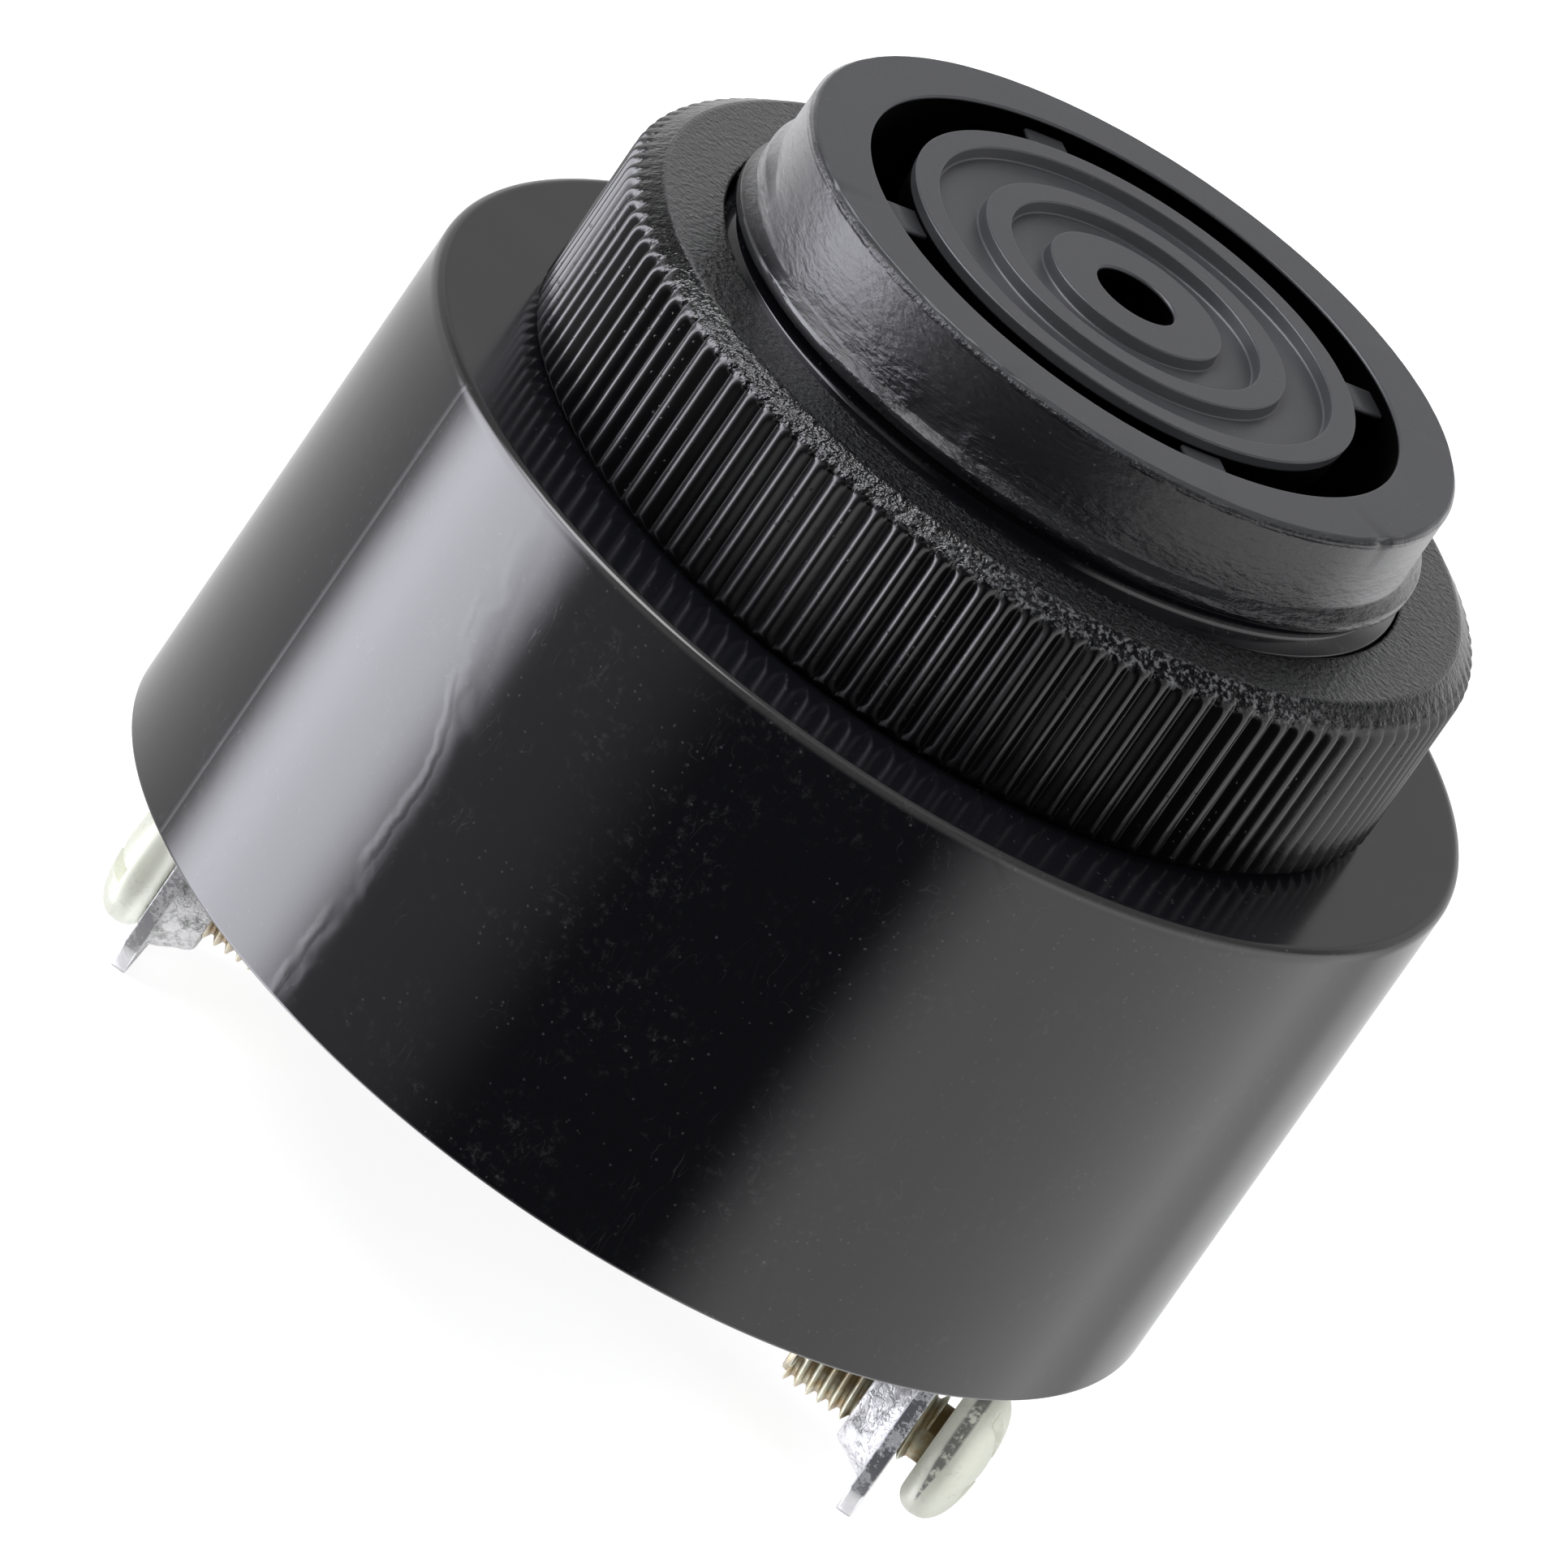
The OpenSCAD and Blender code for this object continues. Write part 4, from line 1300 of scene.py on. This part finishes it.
def studio_world(settings):
    """White to the camera, a plain level for soft light, and a studio to glossy surfaces.

    Glossy surfaces see a softbox on the left, a card on the right, a backdrop behind
    and the dark of the room in front.
    """
    world = bpy.data.worlds.new("Studio")
    bpy.context.scene.world = world
    world.use_nodes = True
    sheet = Sheet(world.node_tree)
    step = sheet.step
    x, y, z = sheet.split(sheet.node("ShaderNodeTexCoord", out="Generated"))
    flat = (x * x + y * y).root() + 0.0001

    def panel(compass, outer, inner):
        """Bright within an angle of a compass point, and dark beyond another."""
        a = math.radians(compass)
        facing = (x * math.cos(a) + y * math.sin(a)) / flat
        return step(facing, cos(outer), cos(inner))

    box = panel(-172, 27, 5) * settings.softbox + panel(-148, 45, 10) * 0.45
    box = box * step(z, 0.9, 0.3)
    card = panel(-4, 59, 34) * settings.card * step(z, 0.9, 0.2)
    back = panel(100, 62, 40).most(panel(148, 42, 20)) * settings.backdrop
    back = back * step(z, 0.12, 0.34, 1.0, 0.55) * step(z, 0.6, 0.46, 0.08, 1.0)
    above = step(z * 0.872 + x * -0.489, cos(24), cos(9)) * 8.5 + step(z, 0.9, 0.99) * 0.35
    below = step(z, -0.5, -0.72) * 0.85
    level = box + card + back + above + below + 0.012
    rays = sheet.all("ShaderNodeLightPath", {})
    camera = Wire(sheet, rays.outputs["Is Camera Ray"])
    glossy = Wire(sheet, rays.outputs["Is Glossy Ray"])
    strength = camera + (1 - camera) * (glossy * level + (1 - glossy) * 0.55)
    cool = step(box, 0.2, 2.0) * glossy * (1 - camera)
    tint = sheet.blend(cool, (1, 1, 1.01), (0.985, 0.98, 1.07))
    light = sheet.node("ShaderNodeBackground", {}, tint, strength)
    sheet.all("ShaderNodeOutputWorld", {}, light)
    world.cycles.sampling_method = "NONE"


def studio_floor():
    """A plain pale floor at the blades' tips, white to the camera but for a soft shadow."""
    work = bmesh.new()
    bmesh.ops.create_circle(work, cap_ends=True, segments=96, radius=0.6)
    for v in work.verts:
        v.co.z = cad_low.z - 0.02 * MM
    paint = bpy.data.materials.new("pale_floor")
    paint.use_nodes = True
    sheet = Sheet(paint.node_tree)
    camera = sheet.node("ShaderNodeLightPath", out="Is Camera Ray")
    matte = sheet.node("ShaderNodeBsdfDiffuse", {}, (0.45, 0.45, 0.45))
    glow = sheet.node("ShaderNodeEmission", {}, (1, 1, 1), camera * 0.86)
    both = sheet.node("ShaderNodeAddShader", {}, matte, glow)
    clear = sheet.node("ShaderNodeBsdfTransparent")
    behind = sheet.node("ShaderNodeNewGeometry", out="Backfacing")
    mixed = sheet.node("ShaderNodeMixShader", {}, behind * camera, both, clear)
    sheet.all("ShaderNodeOutputMaterial", {}, mixed)
    floor = placed_object("floor", mesh_of(work, "floor", paint))
    floor.visible_glossy = False
    floor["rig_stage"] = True


def lamp(name, place, size, power):
    """A soft square lamp that looks at the part's middle."""
    light = bpy.data.lights.new(name, "AREA")
    light.size, light.energy = size, power
    made = placed_object(name, light)
    made.location = place
    aim = Vector((0, 0, -0.01)) - Vector(place)
    made.rotation_euler = aim.to_track_quat("-Z", "Y").to_euler()
    made.visible_glossy = made.visible_camera = False


def studio_camera(settings):
    """A long lens above the shoulder's plane, rolled over."""
    e, r = settings.elevation, settings.roll
    across, rise = Vector((1, 0, 0)), Vector((0, math.sin(e), math.cos(e)))
    towards = Vector((0, -math.cos(e), math.sin(e)))
    right = across * math.cos(r) + rise * math.sin(r)
    up = rise * math.cos(r) - across * math.sin(r)
    stand = Matrix((right, up, towards)).transposed().to_4x4()
    stand.translation = -5.987 * MM * right - 7.928 * MM * up + settings.distance * towards
    data = bpy.data.cameras.new("camera")
    data.lens, data.sensor_width = settings.lens, 36
    data.clip_start, data.clip_end = 0.05, 10
    made = placed_object("camera", data)
    made.matrix_world = Matrix.Rotation(settings.azimuth, 4, "Z") @ stand
    bpy.context.scene.camera = made


class BUZZER_OT_studio(Operator):
    """Sets up the floor, the lamps, the world and the camera"""

    bl_idname = "buzzer.studio"
    bl_label = "Studio"

    def execute(self, context):
        settings = context.scene.buzzer_studio
        context.scene.view_settings.view_transform = "Standard"
        studio_world(settings)
        studio_floor()
        lamp("key", (-0.35, -0.2, 0.45), 0.35, 3.0)
        lamp("fill", (0.45, -0.15, 0.3), 0.4, 1.5)
        studio_camera(settings)
        return {"FINISHED"}


# ---- Panel and run ----

GROUPS = {
    "buzzer_housing": HousingSettings,
    "buzzer_nut": NutSettings,
    "buzzer_screw": ScrewSettings,
    "buzzer_terminal": TerminalSettings,
    "buzzer_studio": StudioSettings,
}
OPERATORS = (
    BUZZER_OT_housing, BUZZER_OT_nut, BUZZER_OT_screws, BUZZER_OT_terminals,
    BUZZER_OT_inside, BUZZER_OT_studio,
)
KINDS = *GROUPS.values(), *OPERATORS


class BUZZER_PT_panel(Panel):
    """Lists the buzzer's settings and operators"""

    bl_idname = "BUZZER_PT_panel"
    bl_label = "Panel buzzer"
    bl_space_type = "VIEW_3D"
    bl_region_type = "UI"
    bl_category = "Buzzer"

    def draw(self, context):
        for name, group in GROUPS.items():
            box = self.layout.box()
            for key in group.__annotations__:
                box.prop(getattr(context.scene, name), key)
        for operator in OPERATORS:
            self.layout.operator(operator.bl_idname)


def register():
    for kind in (*KINDS, BUZZER_PT_panel):
        bpy.utils.register_class(kind)
    for name, group in GROUPS.items():
        setattr(bpy.types.Scene, name, PointerProperty(type=group))


def unregister():
    for name in GROUPS:
        delattr(bpy.types.Scene, name)
    for kind in reversed((*KINDS, BUZZER_PT_panel)):
        bpy.utils.unregister_class(kind)


def main():
    register()
    for operator in OPERATORS:
        area, action = operator.bl_idname.split(".")
        getattr(getattr(bpy.ops, area), action)()


if __name__ == "__main__":
    main()
